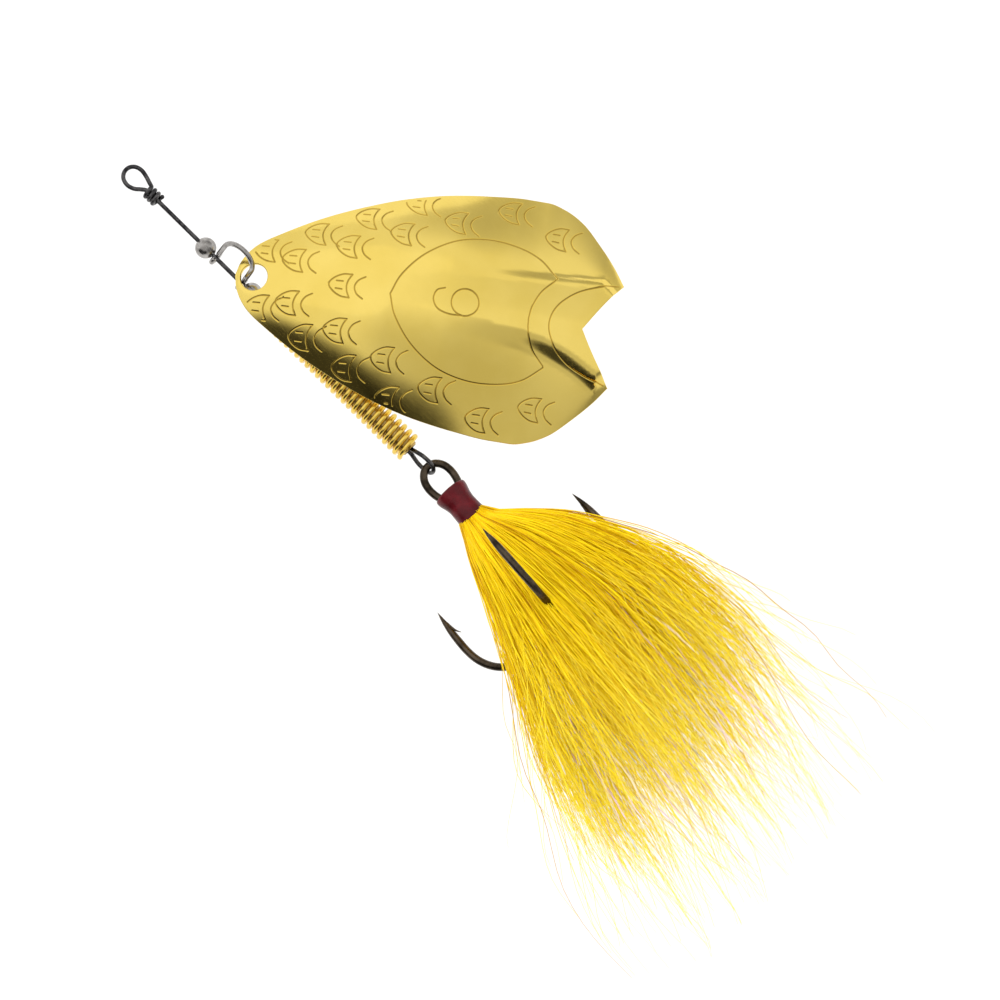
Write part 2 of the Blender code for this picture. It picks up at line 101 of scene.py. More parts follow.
SHAFT = frame_at((0.0, 0.0, SHAFT_Z0), SHAFT_X, (0, 0, 1))
hook_x = (
    math.cos(HOOK_YAW) * math.cos(HOOK_PITCH),
    math.sin(HOOK_YAW) * math.cos(HOOK_PITCH),
    math.sin(HOOK_PITCH),
)
HOOK = frame_at(HOOK_EYE, hook_x, (0, 0, 1))
blade_u = np.array((math.cos(BLADE_YAW), math.sin(BLADE_YAW), 0.0))
blade_v = np.array((-math.sin(BLADE_YAW), math.cos(BLADE_YAW), 0.0))
blade_up = blade_u * BLADE_FALL + blade_v * BLADE_LEAN + np.array((0, 0, 1.0))
BLADE = frame_at(BLADE_HOLE, blade_u - np.array((0, 0, BLADE_FALL)), blade_up)


# ---------------------------------------------------------------- mesh helpers
def new_object(name, verts_mm, faces, mat, smooth=True):
    mesh = bpy.data.meshes.new(name)
    mesh.from_pydata((np.asarray(verts_mm, float) * MM).tolist(), [], faces)
    mesh.materials.append(mat)
    if smooth:
        mesh.shade_smooth()
    mesh.update()
    obj = bpy.data.objects.new(name, mesh)
    bpy.context.scene.collection.objects.link(obj)
    return obj


def smooth_path(knots, per=4):
    """A Catmull-Rom path through the knots."""
    k = np.asarray(knots, float)
    ends = np.vstack([2 * k[0] - k[1], k, 2 * k[-1] - k[-2]])
    out = []
    for i in range(1, len(ends) - 2):
        a, b, c, d = ends[i - 1 : i + 3]
        for j in range(per):
            t = j / per
            out.append(
                0.5
                * (2 * b + (c - a) * t + (2 * a - 5 * b + 4 * c - d) * t * t + (3 * b - 3 * c + d - a) * t**3)
            )
    out.append(ends[-2])
    return np.array(out)


def resample(points, step, extra=None):
    """Points at equal steps along a polyline, and `extra` values read at the same places."""
    p = np.asarray(points, float)
    keep = np.concatenate([[True], np.linalg.norm(np.diff(p, axis=0), axis=1) > 1e-6])
    p = p[keep]
    s = np.concatenate([[0], np.cumsum(np.linalg.norm(np.diff(p, axis=0), axis=1))])
    n = max(int(round(s[-1] / step)), 2)
    at = np.linspace(0, s[-1], n + 1)
    out = np.stack([np.interp(at, s, p[:, i]) for i in range(p.shape[1])], axis=1)
    if extra is None:
        return out
    return out, np.interp(at, s, np.asarray(extra, float)[keep])


def relax(points, rounds=2):
    p = np.array(points, float)
    for _ in range(rounds):
        p[1:-1] = 0.25 * p[:-2] + 0.5 * p[1:-1] + 0.25 * p[2:]
    return p


def carried_frames(p):
    """Tangents and two side vectors carried along a path without twist."""
    t = np.gradient(p, axis=0)
    t /= np.linalg.norm(t, axis=1)[:, None]
    side = np.cross(t[0], (0.0, 0.0, 1.0))
    if np.linalg.norm(side) < 0.1:
        side = np.cross(t[0], (0.0, 1.0, 0.0))
    sides = []
    for k in range(len(p)):
        side = side - t[k] * (side @ t[k])
        side = side / np.linalg.norm(side)
        sides.append(side)
    sides = np.array(sides)
    return t, sides, np.cross(t, sides)


def tube_mesh(points, radii, sides=20, flat=1.0):
    """(verts, faces) of a round-ended tube along a path, all in millimetres."""
    p = np.asarray(points, float)
    r = np.broadcast_to(np.asarray(radii, float), (len(p),))
    _, e1, e2 = carried_frames(p)
    a = np.linspace(0, math.tau, sides, endpoint=False)
    ring = np.cos(a)[None, :, None] * e1[:, None, :] + flat * np.sin(a)[None, :, None] * e2[:, None, :]
    verts = (p[:, None, :] + r[:, None, None] * ring).reshape(-1, 3)
    faces = []
    for k in range(len(p) - 1):
        lo, hi = k * sides, (k + 1) * sides
        for i in range(sides):
            j = (i + 1) % sides
            faces.append((lo + i, lo + j, hi + j, hi + i))
    verts = np.vstack([verts, p[0], p[-1]])
    first, last = len(verts) - 2, len(verts) - 1
    top = (len(p) - 1) * sides
    for i in range(sides):
        j = (i + 1) % sides
        faces.append((j, i, first))
        faces.append((top + i, top + j, last))
    return verts, faces


def domed(points, radii, r):
    """Adds a rounded cap of radius r at both ends of a path."""
    p, radii = np.asarray(points, float), np.broadcast_to(np.asarray(radii, float), (len(points),)).copy()
    out_p, out_r = list(p), list(radii)
    for end in (0, -1):
        t = p[0] - p[1] if end == 0 else p[-1] - p[-2]
        t = t / np.linalg.norm(t)
        cap = [(p[end] + t * r * math.sin(a), radii[end] * math.cos(a)) for a in np.radians((25, 48, 68, 84))]
        if end == 0:
            out_p = [c[0] for c in cap[::-1]] + out_p
            out_r = [c[1] for c in cap[::-1]] + out_r
        else:
            out_p += [c[0] for c in cap]
            out_r += [c[1] for c in cap]
    return np.array(out_p), np.array(out_r)


def tube(name, points, radii, where, mat, sides=20, flat=1.0):
    verts, faces = tube_mesh(points, radii, sides, flat)
    return new_object(name, to_row(where, verts), faces, mat)


def joined(meshes):
    verts, faces, base = [], [], 0
    for v, f in meshes:
        verts.append(v)
        faces += [tuple(i + base for i in face) for face in f]
        base += len(v)
    return np.vstack(verts), faces


def lathe(profile, steps=72, wobble=None):
    """(verts, faces) of a closed ring profile of (radius, along) turned about X."""
    n = len(profile)
    verts, faces = [], []
    for s in range(steps):
        a = math.tau * s / steps
        for r, x in profile:
            rr = r + (wobble(x, a, r) if wobble else 0.0)
            verts.append((x, rr * math.cos(a), rr * math.sin(a)))
    for s in range(steps):
        b, c = s * n, ((s + 1) % steps) * n
        for i in range(n):
            j = (i + 1) % n
            faces.append((b + i, b + j, c + j, c + i))
    return np.array(verts), faces


def stations(table, x):
    """Smooth reading of a table of (x, value) stations with monotone-limited slopes, for an array of x."""
    xs, ys = np.array([a for a, _ in table], float), np.array([b for _, b in table], float)
    x = np.clip(np.asarray(x, float), xs[0], xs[-1])
    d = np.diff(ys) / np.diff(xs)
    m = np.zeros(len(xs))
    m[0], m[-1] = d[0], d[-1]
    both = d[:-1] * d[1:]
    m[1:-1] = np.where(both > 0, 2 * both / np.where(d[:-1] + d[1:] == 0, 1, d[:-1] + d[1:]), 0)
    k = np.clip(np.searchsorted(xs, x, side="right") - 1, 0, len(xs) - 2)
    h = xs[k + 1] - xs[k]
    t = (x - xs[k]) / h
    return (
        ys[k] * (2 * t**3 - 3 * t * t + 1)
        + ys[k + 1] * (3 * t * t - 2 * t**3)
        + m[k] * h * (t**3 - 2 * t * t + t)
        + m[k + 1] * h * (t**3 - t * t)
    )


def smoothstep(lo, hi, x):
    t = np.clip((np.asarray(x, float) - lo) / (hi - lo), 0, 1)
    return t * t * (3 - 2 * t)


# ---------------------------------------------------------------- materials
def node_material(name):
    made = bpy.data.materials.new(name)
    made.use_nodes = True
    tree = made.node_tree
    return made, tree, tree.nodes["Principled BSDF"]


def colour_ramp(tree, stops, source):
    ramp = tree.nodes.new("ShaderNodeValToRGB")
    elements = ramp.color_ramp.elements
    while len(elements) > 1:
        elements.remove(elements[-1])
    elements[0].position, elements[0].color = stops[0][0], (*stops[0][1], 1)
    for at, colour in stops[1:]:
        elements.new(at).color = (*colour, 1)
    tree.links.new(source, ramp.inputs["Fac"])
    return ramp.outputs["Color"]


def noise(tree, scale, detail=3.0, rough=0.55, vector=None, stretch=None):
    coords = tree.nodes.new("ShaderNodeTexCoord")
    out = vector or coords.outputs["Object"]
    if stretch:
        mapping = tree.nodes.new("ShaderNodeMapping")
        mapping.inputs["Scale"].default_value = stretch
        tree.links.new(out, mapping.inputs["Vector"])
        out = mapping.outputs["Vector"]
    tex = tree.nodes.new("ShaderNodeTexNoise")
    tex.inputs["Scale"].default_value = scale
    tex.inputs["Detail"].default_value = detail
    tex.inputs["Roughness"].default_value = rough
    tree.links.new(out, tex.inputs["Vector"])
    return tex.outputs["Fac"]


def remap(tree, source, lo, hi, to_lo, to_hi):
    node = tree.nodes.new("ShaderNodeMapRange")
    node.inputs["From Min"].default_value, node.inputs["From Max"].default_value = lo, hi
    node.inputs["To Min"].default_value, node.inputs["To Max"].default_value = to_lo, to_hi
    tree.links.new(source, node.inputs["Value"])
    return node.outputs["Result"]


def bumped(tree, shader, source, strength, distance):
    node = tree.nodes.new("ShaderNodeBump")
    node.inputs["Strength"].default_value = strength
    node.inputs["Distance"].default_value = distance
    tree.links.new(source, node.inputs["Height"])
    tree.links.new(node.outputs["Normal"], shader.inputs["Normal"])


def mixed(tree, factor, a, b, mode="MIX"):
    node = tree.nodes.new("ShaderNodeMix")
    node.data_type, node.blend_type = "RGBA", mode
    if isinstance(factor, float):
        node.inputs["Factor"].default_value = factor
    else:
        tree.links.new(factor, node.inputs["Factor"])
    for socket, value in ((node.inputs[6], a), (node.inputs[7], b)):
        if isinstance(value, tuple):
            socket.default_value = (*value, 1)
        else:
            tree.links.new(value, socket)
    return node.outputs[2]


def metal(name, dark, light, rough, scale=900.0, bump=0.0, tint_lo=0.35, tint_hi=0.65):
    """Polished or plated metal: cloudy tint, uneven gloss and a very slight orange-peel surface."""
    made, tree, shader = node_material(name)
    cloud = noise(tree, scale, 4.0)
    shader.inputs["Metallic"].default_value = 1.0
    tree.links.new(colour_ramp(tree, [(tint_lo, dark), (tint_hi, light)], cloud), shader.inputs["Base Color"])
    fine = noise(tree, scale * 3.1, 2.0)
    tree.links.new(remap(tree, fine, 0.3, 0.7, rough[0], rough[1]), shader.inputs["Roughness"])
    if bump:
        bumped(tree, shader, noise(tree, scale * 0.6, 2.0), bump, 0.0002)
    return made


GOLD = metal("gold_plate", (0.80, 0.575, 0.105), (0.86, 0.63, 0.135), (0.10, 0.17), 160.0, 0.05)
GOLD_WIRE = metal("gold_wire", (0.74, 0.50, 0.085), (0.86, 0.62, 0.13), (0.14, 0.24), 700.0, 0.05)
BRASS = metal("brass_core", (0.42, 0.28, 0.08), (0.62, 0.44, 0.15), (0.28, 0.45), 600.0, 0.1)
NICKEL = metal("nickel_plate", (0.24, 0.225, 0.21), (0.46, 0.44, 0.42), (0.14, 0.28), 900.0, 0.05)
BLACK_NICKEL = metal("black_nickel", (0.028, 0.027, 0.030), (0.13, 0.125, 0.125), (0.20, 0.36), 900.0, 0.1)
BRONZE = metal("bronze_black", (0.026, 0.020, 0.014), (0.105, 0.080, 0.056), (0.20, 0.36), 420.0, 0.12)


def blade_material():
    """The blade's plating: mirror gold with faint clouds and hairlines, with painted shade darkening the colour along
    the engraved grooves.
    """
    made, tree, shader = node_material("blade_gold_plate")
    shader.inputs["Metallic"].default_value = 1.0
    cloud = noise(tree, 90.0, 4.0)
    plate = colour_ramp(tree, [(0.35, (0.79, 0.585, 0.125)), (0.65, (0.84, 0.635, 0.155))], cloud)
    attribute = tree.nodes.new("ShaderNodeAttribute")
    attribute.attribute_name = "recess"
    # painted shade: the base colour darkens with the groove depth, standing in for the shade inside the engraved lines
    painted_groove_shade = colour_ramp(tree, [(0.0, (1.0, 1.0, 1.0)), (0.35, (0.84, 0.79, 0.62)), (1.0, (0.46, 0.37, 0.20))], attribute.outputs["Fac"])
    tree.links.new(mixed(tree, 1.0, plate, painted_groove_shade, "MULTIPLY"), shader.inputs["Base Color"])
    hairline = noise(tree, 700.0, 2.0, 0.6, None, (1.0, 6.0, 1.0))
    tree.links.new(remap(tree, hairline, 0.3, 0.7, 0.10, 0.19), shader.inputs["Roughness"])
    bumped(tree, shader, noise(tree, 130.0, 3.0), 0.06, 0.0003)
    return made


def sleeve_material():
    made, tree, shader = node_material("maroon_tube")
    cloud = noise(tree, 420.0, 4.0)
    tree.links.new(
        colour_ramp(tree, [(0.30, (0.045, 0.0012, 0.0028)), (0.55, (0.075, 0.002, 0.005)), (0.75, (0.110, 0.004, 0.008))], cloud),
        shader.inputs["Base Color"],
    )
    tree.links.new(remap(tree, noise(tree, 1500.0, 2.0), 0.3, 0.7, 0.20, 0.34), shader.inputs["Roughness"])
    shader.inputs["Specular IOR Level"].default_value = 0.20
    bumped(tree, shader, noise(tree, 500.0, 3.0, 0.5, None, (1.0, 0.25, 0.25)), 0.25, 0.0003)
    return made


def thread_material():
    made, tree, shader = node_material("red_thread")
    wave = tree.nodes.new("ShaderNodeTexWave")
    wave.wave_type, wave.bands_direction = "BANDS", "X"
    wave.inputs["Scale"].default_value = 900.0
    coords = tree.nodes.new("ShaderNodeTexCoord")
    tree.links.new(coords.outputs["Object"], wave.inputs["Vector"])
    tree.links.new(colour_ramp(tree, [(0.0, (0.10, 0.004, 0.008)), (1.0, (0.32, 0.02, 0.03))], wave.outputs["Fac"]), shader.inputs["Base Color"])
    shader.inputs["Roughness"].default_value = 0.65
    bumped(tree, shader, wave.outputs["Fac"], 0.5, 0.0002)
    return made


def strand_coords(tree, count):
    """The strand map's two axes: a random number per strand, and 0 at the root to 1 at the tip."""
    uv = tree.nodes.new("ShaderNodeUVMap")
    uv.uv_map = "OFBake"
    split = tree.nodes.new("ShaderNodeSeparateXYZ")
    tree.links.new(uv.outputs["UV"], split.inputs["Vector"])
    times = tree.nodes.new("ShaderNodeMath")
    times.operation = "MULTIPLY"
    times.inputs[1].default_value = float(count)
    tree.links.new(split.outputs["X"], times.inputs[0])
    floor = tree.nodes.new("ShaderNodeMath")
    floor.operation = "FLOOR"
    tree.links.new(times.outputs["Value"], floor.inputs[0])
    white = tree.nodes.new("ShaderNodeTexWhiteNoise")
    white.noise_dimensions = "1D"
    tree.links.new(floor.outputs["Value"], white.inputs["W"])
    return white.outputs["Value"], split.outputs["Y"]


def hair_material(name, count, root_tone):
    made, tree, shader = node_material(name)
    pick, along = strand_coords(tree, count)
    body = colour_ramp(
        tree,
        [(0.0, root_tone), (0.22, (0.92, 0.68, 0.004)), (0.62, (0.92, 0.71, 0.006)), (1.0, (0.93, 0.80, 0.09))],
        along,
    )
    variety = colour_ramp(
        tree,
        [(0.0, (0.52, 0.30, 0.06)), (0.02, (0.56, 0.34, 0.06)), (0.024, (0.78, 0.62, 0.40)), (0.35, (0.92, 0.88, 0.72)), (0.75, (1.0, 1.0, 1.0)), (1.0, (1.0, 1.0, 1.0))],
        pick,
    )
    tree.links.new(mixed(tree, 1.0, body, variety, "MULTIPLY"), shader.inputs["Base Color"])
    shader.inputs["Roughness"].default_value = 0.42
    shader.inputs["Specular IOR Level"].default_value = 0.13
    # painted light: a faint yellow glow lights every strand from within, filling the shade between strands in place of
    # light passing through the hair
    shader.inputs["Emission Color"].default_value = (0.90, 0.62, 0.0, 1)
    shader.inputs["Emission Strength"].default_value = 0.08
    return made


def flash_material(name, count):
    made, tree, shader = node_material(name)
    pick, along = strand_coords(tree, count)
    tint = colour_ramp(
        tree,
        [(0.0, (0.95, 0.68, 0.64)), (0.35, (0.90, 0.68, 0.82)), (0.6, (0.96, 0.86, 0.55)), (0.8, (0.82, 0.84, 0.86)), (1.0, (0.97, 0.76, 0.76))],
        pick,
    )
    tree.links.new(tint, shader.inputs["Base Color"])
    shader.inputs["Metallic"].default_value = 0.10
    shader.inputs["Roughness"].default_value = 0.22
    shader.inputs["Coat Weight"].default_value = 0.5
    return made


# ---------------------------------------------------------------- through wire
def u_point(s, q):
    return (s, q * math.cos(U_TILT), q * math.sin(U_TILT))


tail_leg = smooth_path(
    [u_point(TAIL_BORE_S + 1.2, -0.84), u_point(62.0, -0.84), u_point(67.2, -0.84), u_point(68.3, -1.14), u_point(69.5, -1.56), u_point(U_MID, -U_HALF)], 8
)
u_turn = np.array(
    [
        u_point(U_MID + U_HALF * math.cos(a), U_HALF * math.sin(a))
        for a in (math.radians(-90 + 180 * i / 28) for i in range(1, 28))
    ]
)
main_leg = smooth_path(
    [u_point(U_MID, U_HALF), u_point(69.5, 1.52), u_point(68.3, 0.98), u_point(67.2, 0.38), u_point(66.0, 0.05), u_point(64.8, 0.0)], 8
)
tie = smooth_path(
    [
        (6.4, 0.0, 0.0), (5.3, -0.05, 0.0), (4.45, -0.62, 0.0), (3.5, -1.38, 0.0), (2.3, -LOOP_HALF_WIDTH, 0.0),
        (1.1, -1.42, 0.0), (0.42, -0.55, 0.0), (0.42, 0.50, 0.0), (1.1, 1.38, 0.0), (2.3, LOOP_HALF_WIDTH, 0.04),
        (3.6, 1.50, 0.08), (4.7, 1.14, 0.05),
    ],
    10,
)
wraps = []
for i in range(1, int(40 * WRAP_TURNS) + 1):
    a = math.tau * i / 40
    wraps.append((WRAP_START + WRAP_PITCH * i / 40, WRAP_R * math.cos(a), WRAP_R * math.sin(a)))
shaft_path = resample(relax(np.vstack([tail_leg, u_turn, main_leg, tie, np.array(wraps)]), 1), 0.16)
# the long straight needs few rings: keep one in eight there
straight = (shaft_path[:, 0] > 9.5) & (shaft_path[:, 0] < 64.0)
keep = ~straight | (np.arange(len(shaft_path)) % 8 == 0)
shaft_path = shaft_path[keep]
pts, rad = domed(shaft_path, SHAFT_R, 0.16)
shaft = tube("wire_shaft", pts, rad, SHAFT, BLACK_NICKEL, 20)
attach(shaft, "wire")
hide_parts("shaft_wire")


# ---------------------------------------------------------------- beads
def bead(name, node, body, s):
    edge = math.asin((BORE_R + 0.10) / BEAD_R)
    outer = []
    for i in range(41):
        a = edge + (math.pi - 2 * edge) * i / 40
        outer.append((BEAD_R * math.sin(a), BEAD_R * math.cos(a)))
    lip = BEAD_R * math.cos(edge)
    outer += [(BORE_R + 0.03, -lip - 0.02), (BORE_R, -lip + 0.08), (BORE_R, lip - 0.08), (BORE_R + 0.03, lip + 0.02)]
    verts, faces = lathe([(r, a) for r, a in outer], 64)
    obj = new_object(name, to_row(SHAFT, verts + np.array((s, 0, 0))), [f[::-1] for f in faces], NICKEL)
    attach(obj, body)
    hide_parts(node)
    return obj


bead("bead_front", "upper_bead", "front_bead", UPPER_BEAD_S)
bead("bead_rear", "lower_bead", "stack", LOWER_BEAD_S)


# ---------------------------------------------------------------- clevis
def round_shaft(s, radius, angle):
    a = CLEVIS_TILT + angle
    return (s, radius * math.cos(a), radius * math.sin(a))


def eyelet(s):
    ring = [round_shaft(s, CLEVIS_EYE_R, math.radians(52 + 13 * i)) for i in range(23)]
    return ring + [round_shaft(s, 1.22, math.radians(352)), round_shaft(s, 1.8, 0.0)]


bow_mid = (CLEVIS_S[0] + CLEVIS_S[1]) / 2
bow_r = (CLEVIS_S[1] - CLEVIS_S[0]) / 2
bow_base = CLEVIS_REACH - bow_r
bow = [
    round_shaft(bow_mid - bow_r * math.cos(a), bow_base + bow_r * math.sin(a), 0.0)
    for a in (math.pi * i / 40 for i in range(41))
]
clevis_path = np.vstack([smooth_path(eyelet(CLEVIS_S[0]), 2), bow, smooth_path(eyelet(CLEVIS_S[1]), 2)[::-1]])
clevis_path = resample(relax(clevis_path, 2), 0.17)
pts, rad = domed(clevis_path, CLEVIS_R, 0.2)
clevis = tube("clevis_bow", pts, rad, SHAFT, NICKEL, 24)
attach(clevis, "clevis_body")
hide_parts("clevis")

# ---------------------------------------------------------------- coil
coil_run = BODY_S[1] - BODY_S[0] - 2 * COIL_R
per_turn = 40
k = np.arange(int(per_turn * COIL_TURNS) + 1)
a = math.tau * k / per_turn
coil_path = np.stack(
    [BODY_S[0] + COIL_R + coil_run * k / (per_turn * COIL_TURNS), COIL_MID_R * np.cos(a), COIL_MID_R * np.sin(a)], axis=1
)
pts, rad = domed(coil_path, COIL_R, 0.2)
coil = tube("coil_winding", pts, rad, SHAFT, GOLD_WIRE, 14)
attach(coil, "weighted_body")
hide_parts("body_coil")

# ---------------------------------------------------------------- blade
HALF_WIDTH = [
    (-3.0, 0.0), (-2.75, 1.6), (-2.3, 2.75), (-1.5, 4.1), (0.0, 5.7), (3.3, 7.9), (10.0, 11.7), (16.7, 14.7),
    (23.3, 17.1), (30.0, 18.8), (36.7, 19.8), (43.0, 20.35), (46.5, 20.35), (49.5, 19.6), (52.5, 18.0),
    (56.0, 14.7), (59.0, 11.3), (TAIL_U, TAIL_V),
]
SPINE_HEIGHT = [(-3.0, 0.15), (0.0, 1.05), (6.0, 3.0), (14.0, 5.0), (23.0, 6.2), (32.0, 6.3), (41.0, 5.5), (50.0, 3.9), (56.0, 2.8), (61.0, 1.9)]
WIDEN = 1 / math.cos(math.atan(BLADE_LEAN))


CREST_LEFT = [(-3.0, 0.0), (8.0, 0.3), (20.0, 2.6), (33.0, 5.3), (45.0, 6.6), (TAIL_U, 8.4)]
CREST_RIGHT = [(-3.0, 0.0), (8.0, 0.1), (25.0, 0.9), (38.0, 1.5), (46.0, 2.1), (52.0, 3.6), (TAIL_U, 8.3)]


def blade_height(u, v):
    """Height of the blade's middle surface over its rim plane: a dome in front, two pressed folds that part towards the tail tips."""
    u, v = np.asarray(u, float), np.asarray(v, float)
    half = np.maximum(stations(HALF_WIDTH, u), 0.3) * WIDEN
    ease = 0.5 + 0.5 * np.tanh(v / 0.8)
    crest = stations(CREST_LEFT, u) * ease + stations(CREST_RIGHT, u) * (1 - ease)
    crest = np.minimum(crest, 0.6 * half)
    over = np.abs(v) - crest
    width = 0.45 + 0.9 * (1 - smoothstep(4.0, 30.0, u))
    past = width * np.logaddexp(0.0, over / width)
    q = np.minimum(past / (half - crest + 0.02), 1.0)
    power = 2.2 - 0.75 * smoothstep(14.0, 50.0, u)
    fold = (0.95 * ease + 1.75 * (1 - ease)) * smoothstep(32.0, 54.0, u)
    drop = 1 - smoothstep(-0.5, 1.5 * ease + 3.6 * (1 - ease), over)
    dish = 0.28 * smoothstep(24.0, 55.0, u) * np.clip(1 - (v / np.maximum(crest, 0.5)) ** 2, 0, 1)
    return (stations(SPINE_HEIGHT, u) - 0.40 * fold) * (1 - q**power) + fold * (drop - 0.35) * (1 - q) - dish


def blade_slopes(u, v, e=0.02):
    return (
        (blade_height(u + e, v) - blade_height(u - e, v)) / (2 * e),
        (blade_height(u, v + e) - blade_height(u, v - e)) / (2 * e),
    )


def blade_outline():
    """The blade's edge in the rim plane, round from the notch, by the left tip, the nose and the right tip."""
    us = -3.0 + (TAIL_U + 3.0) * (1 - np.cos(np.pi * np.linspace(0, 1, 160))) / 2
    vs = stations(HALF_WIDTH, us) * WIDEN
    side = np.stack([us, vs], axis=1)
    f = np.linspace(0, 1, 14)[1:-1]
    tip_to_notch = np.stack([TAIL_U + (NOTCH_U - TAIL_U) * f - 0.22 * np.sin(np.pi * f), TAIL_V * WIDEN * (1 - f)], axis=1)
    left = np.vstack([side, tip_to_notch])
    right = left[::-1].copy()
    right[:, 1] *= -1
    loop = np.vstack([left, [[NOTCH_U, 0.0]], right])
    keep = np.concatenate([[True], np.linalg.norm(np.diff(loop, axis=0), axis=1) > 1e-4])
    loop = loop[keep]
    if np.linalg.norm(loop[0] - loop[-1]) < 1e-4:
        loop = loop[:-1]
    return loop


def closed_resample(loop, step):
    return resample(np.vstack([loop, loop[:1]]), step)[:-1]


def inset(loop, distance, rounds=6):
    """The loop moved inwards."""
    p = np.array(loop)
    t = np.roll(p, -1, 0) - np.roll(p, 1, 0)
    t /= np.linalg.norm(t, axis=1)[:, None]
    n = np.stack([-t[:, 1], t[:, 0]], axis=1)
    area = 0.5 * np.sum(p[:, 0] * np.roll(p[:, 1], -1) - np.roll(p[:, 0], -1) * p[:, 1])
    if area < 0:
        n = -n
    return p + n * distance


def inside(points, loop):
    """True for the points inside the closed loop."""
    x, y = points[:, 0], points[:, 1]
    found = np.zeros(len(points), bool)
    for (x0, y0), (x1, y1) in zip(loop, np.roll(loop, -1, 0)):
        if y0 == y1:
            continue
        crosses = (y0 > y) != (y1 > y)
        found ^= crosses & (x < (x1 - x0) * (y - y0) / (y1 - y0) + x0)
    return found


# engraving: rows of plain scales, a leaf line, a size number and a crease line, all in the blade's own plane
def arc_points(points, per=8):
    return smooth_path(np.asarray(points, float), per)


def scale_stamp():
    """One plain scale: a crescent with two ribs, and a ripple behind it."""
    front = arc_points([(4.3, 2.3), (2.5, 2.15), (0.85, 1.25), (0.0, 0.0), (0.85, -1.25), (2.5, -2.15), (4.3, -2.3)], 5)
    back = arc_points([(4.3, 2.3), (3.7, 1.2), (3.45, 0.0), (3.7, -1.2), (4.3, -2.3)], 4)
    ribs = [np.array([(x, y), (2.7, y * 1.05)]) for x, y in ((1.35, -0.75), (1.35, 0.75))]
    ripple = arc_points([(6.9, 2.2), (5.6, 1.35), (5.0, 0.0), (5.6, -1.35), (6.9, -2.2)], 4)
    return [front, back, *ribs, ripple]


def stamp_rows():
    """Where the scales stand: two rows that climb along each long edge, a last one by each tail tip, and two on the spine."""
    spots = []
    for side in (1, -1):
        spots += [(4.2 + 8.55 * k, side * (3.6 + 3.5 * k)) for k in range(5)]
        spots += [(-0.6 + 7.9 * k, side * (4.8 + 3.9 * k)) for k in range(4)]
        spots.append((46.8, side * 14.5))
    return spots + [(12.5, 0.3), (-4.1, 0.3)]


def engraved_lines():
    lines = []
    for u, v in stamp_rows():
        lines += [path * 0.86 + np.array((u, v)) for path in scale_stamp()]
    # leaf line round the middle of the face
    side = arc_points([(22.8, 0.0), (24.2, 3.6), (27.5, 7.6), (32.3, 10.7), (37.5, 11.9), (42.5, 11.6), (46.6, 10.2), (49.9, 7.4)], 8)
    rear = arc_points([(49.9, 7.4), (47.6, 4.9), (46.4, 2.2), (46.1, 0.0)], 6)
    half = np.vstack([side, rear[1:]])
    lines.append(np.vstack([half, half[::-1][1:] * np.array((1, -1))]))
    # size number: a plain six, read from the tail
    ring = [(35.3 + 2.3 * math.cos(a), 0.6 + 2.3 * math.sin(a)) for a in np.linspace(0, math.tau, 33)]
    lines.append(np.array(ring))
    lines.append(arc_points([(35.0, -1.70), (32.8, -1.75), (30.9, -1.1), (30.0, 0.4), (30.4, 1.9), (31.7, 2.5)], 6))
    # crease line across the tail, from tip to tip
    bend = [(60.3, 8.4), (57.0, 7.5), (53.4, 5.8), (50.6, 3.1), (49.6, 0.0)]
    lines.append(arc_points(bend + [(u, -v) for u, v in bend[::-1][1:]], 8))
    return lines


GROOVE_W, GROOVE_D = 0.20, 0.085


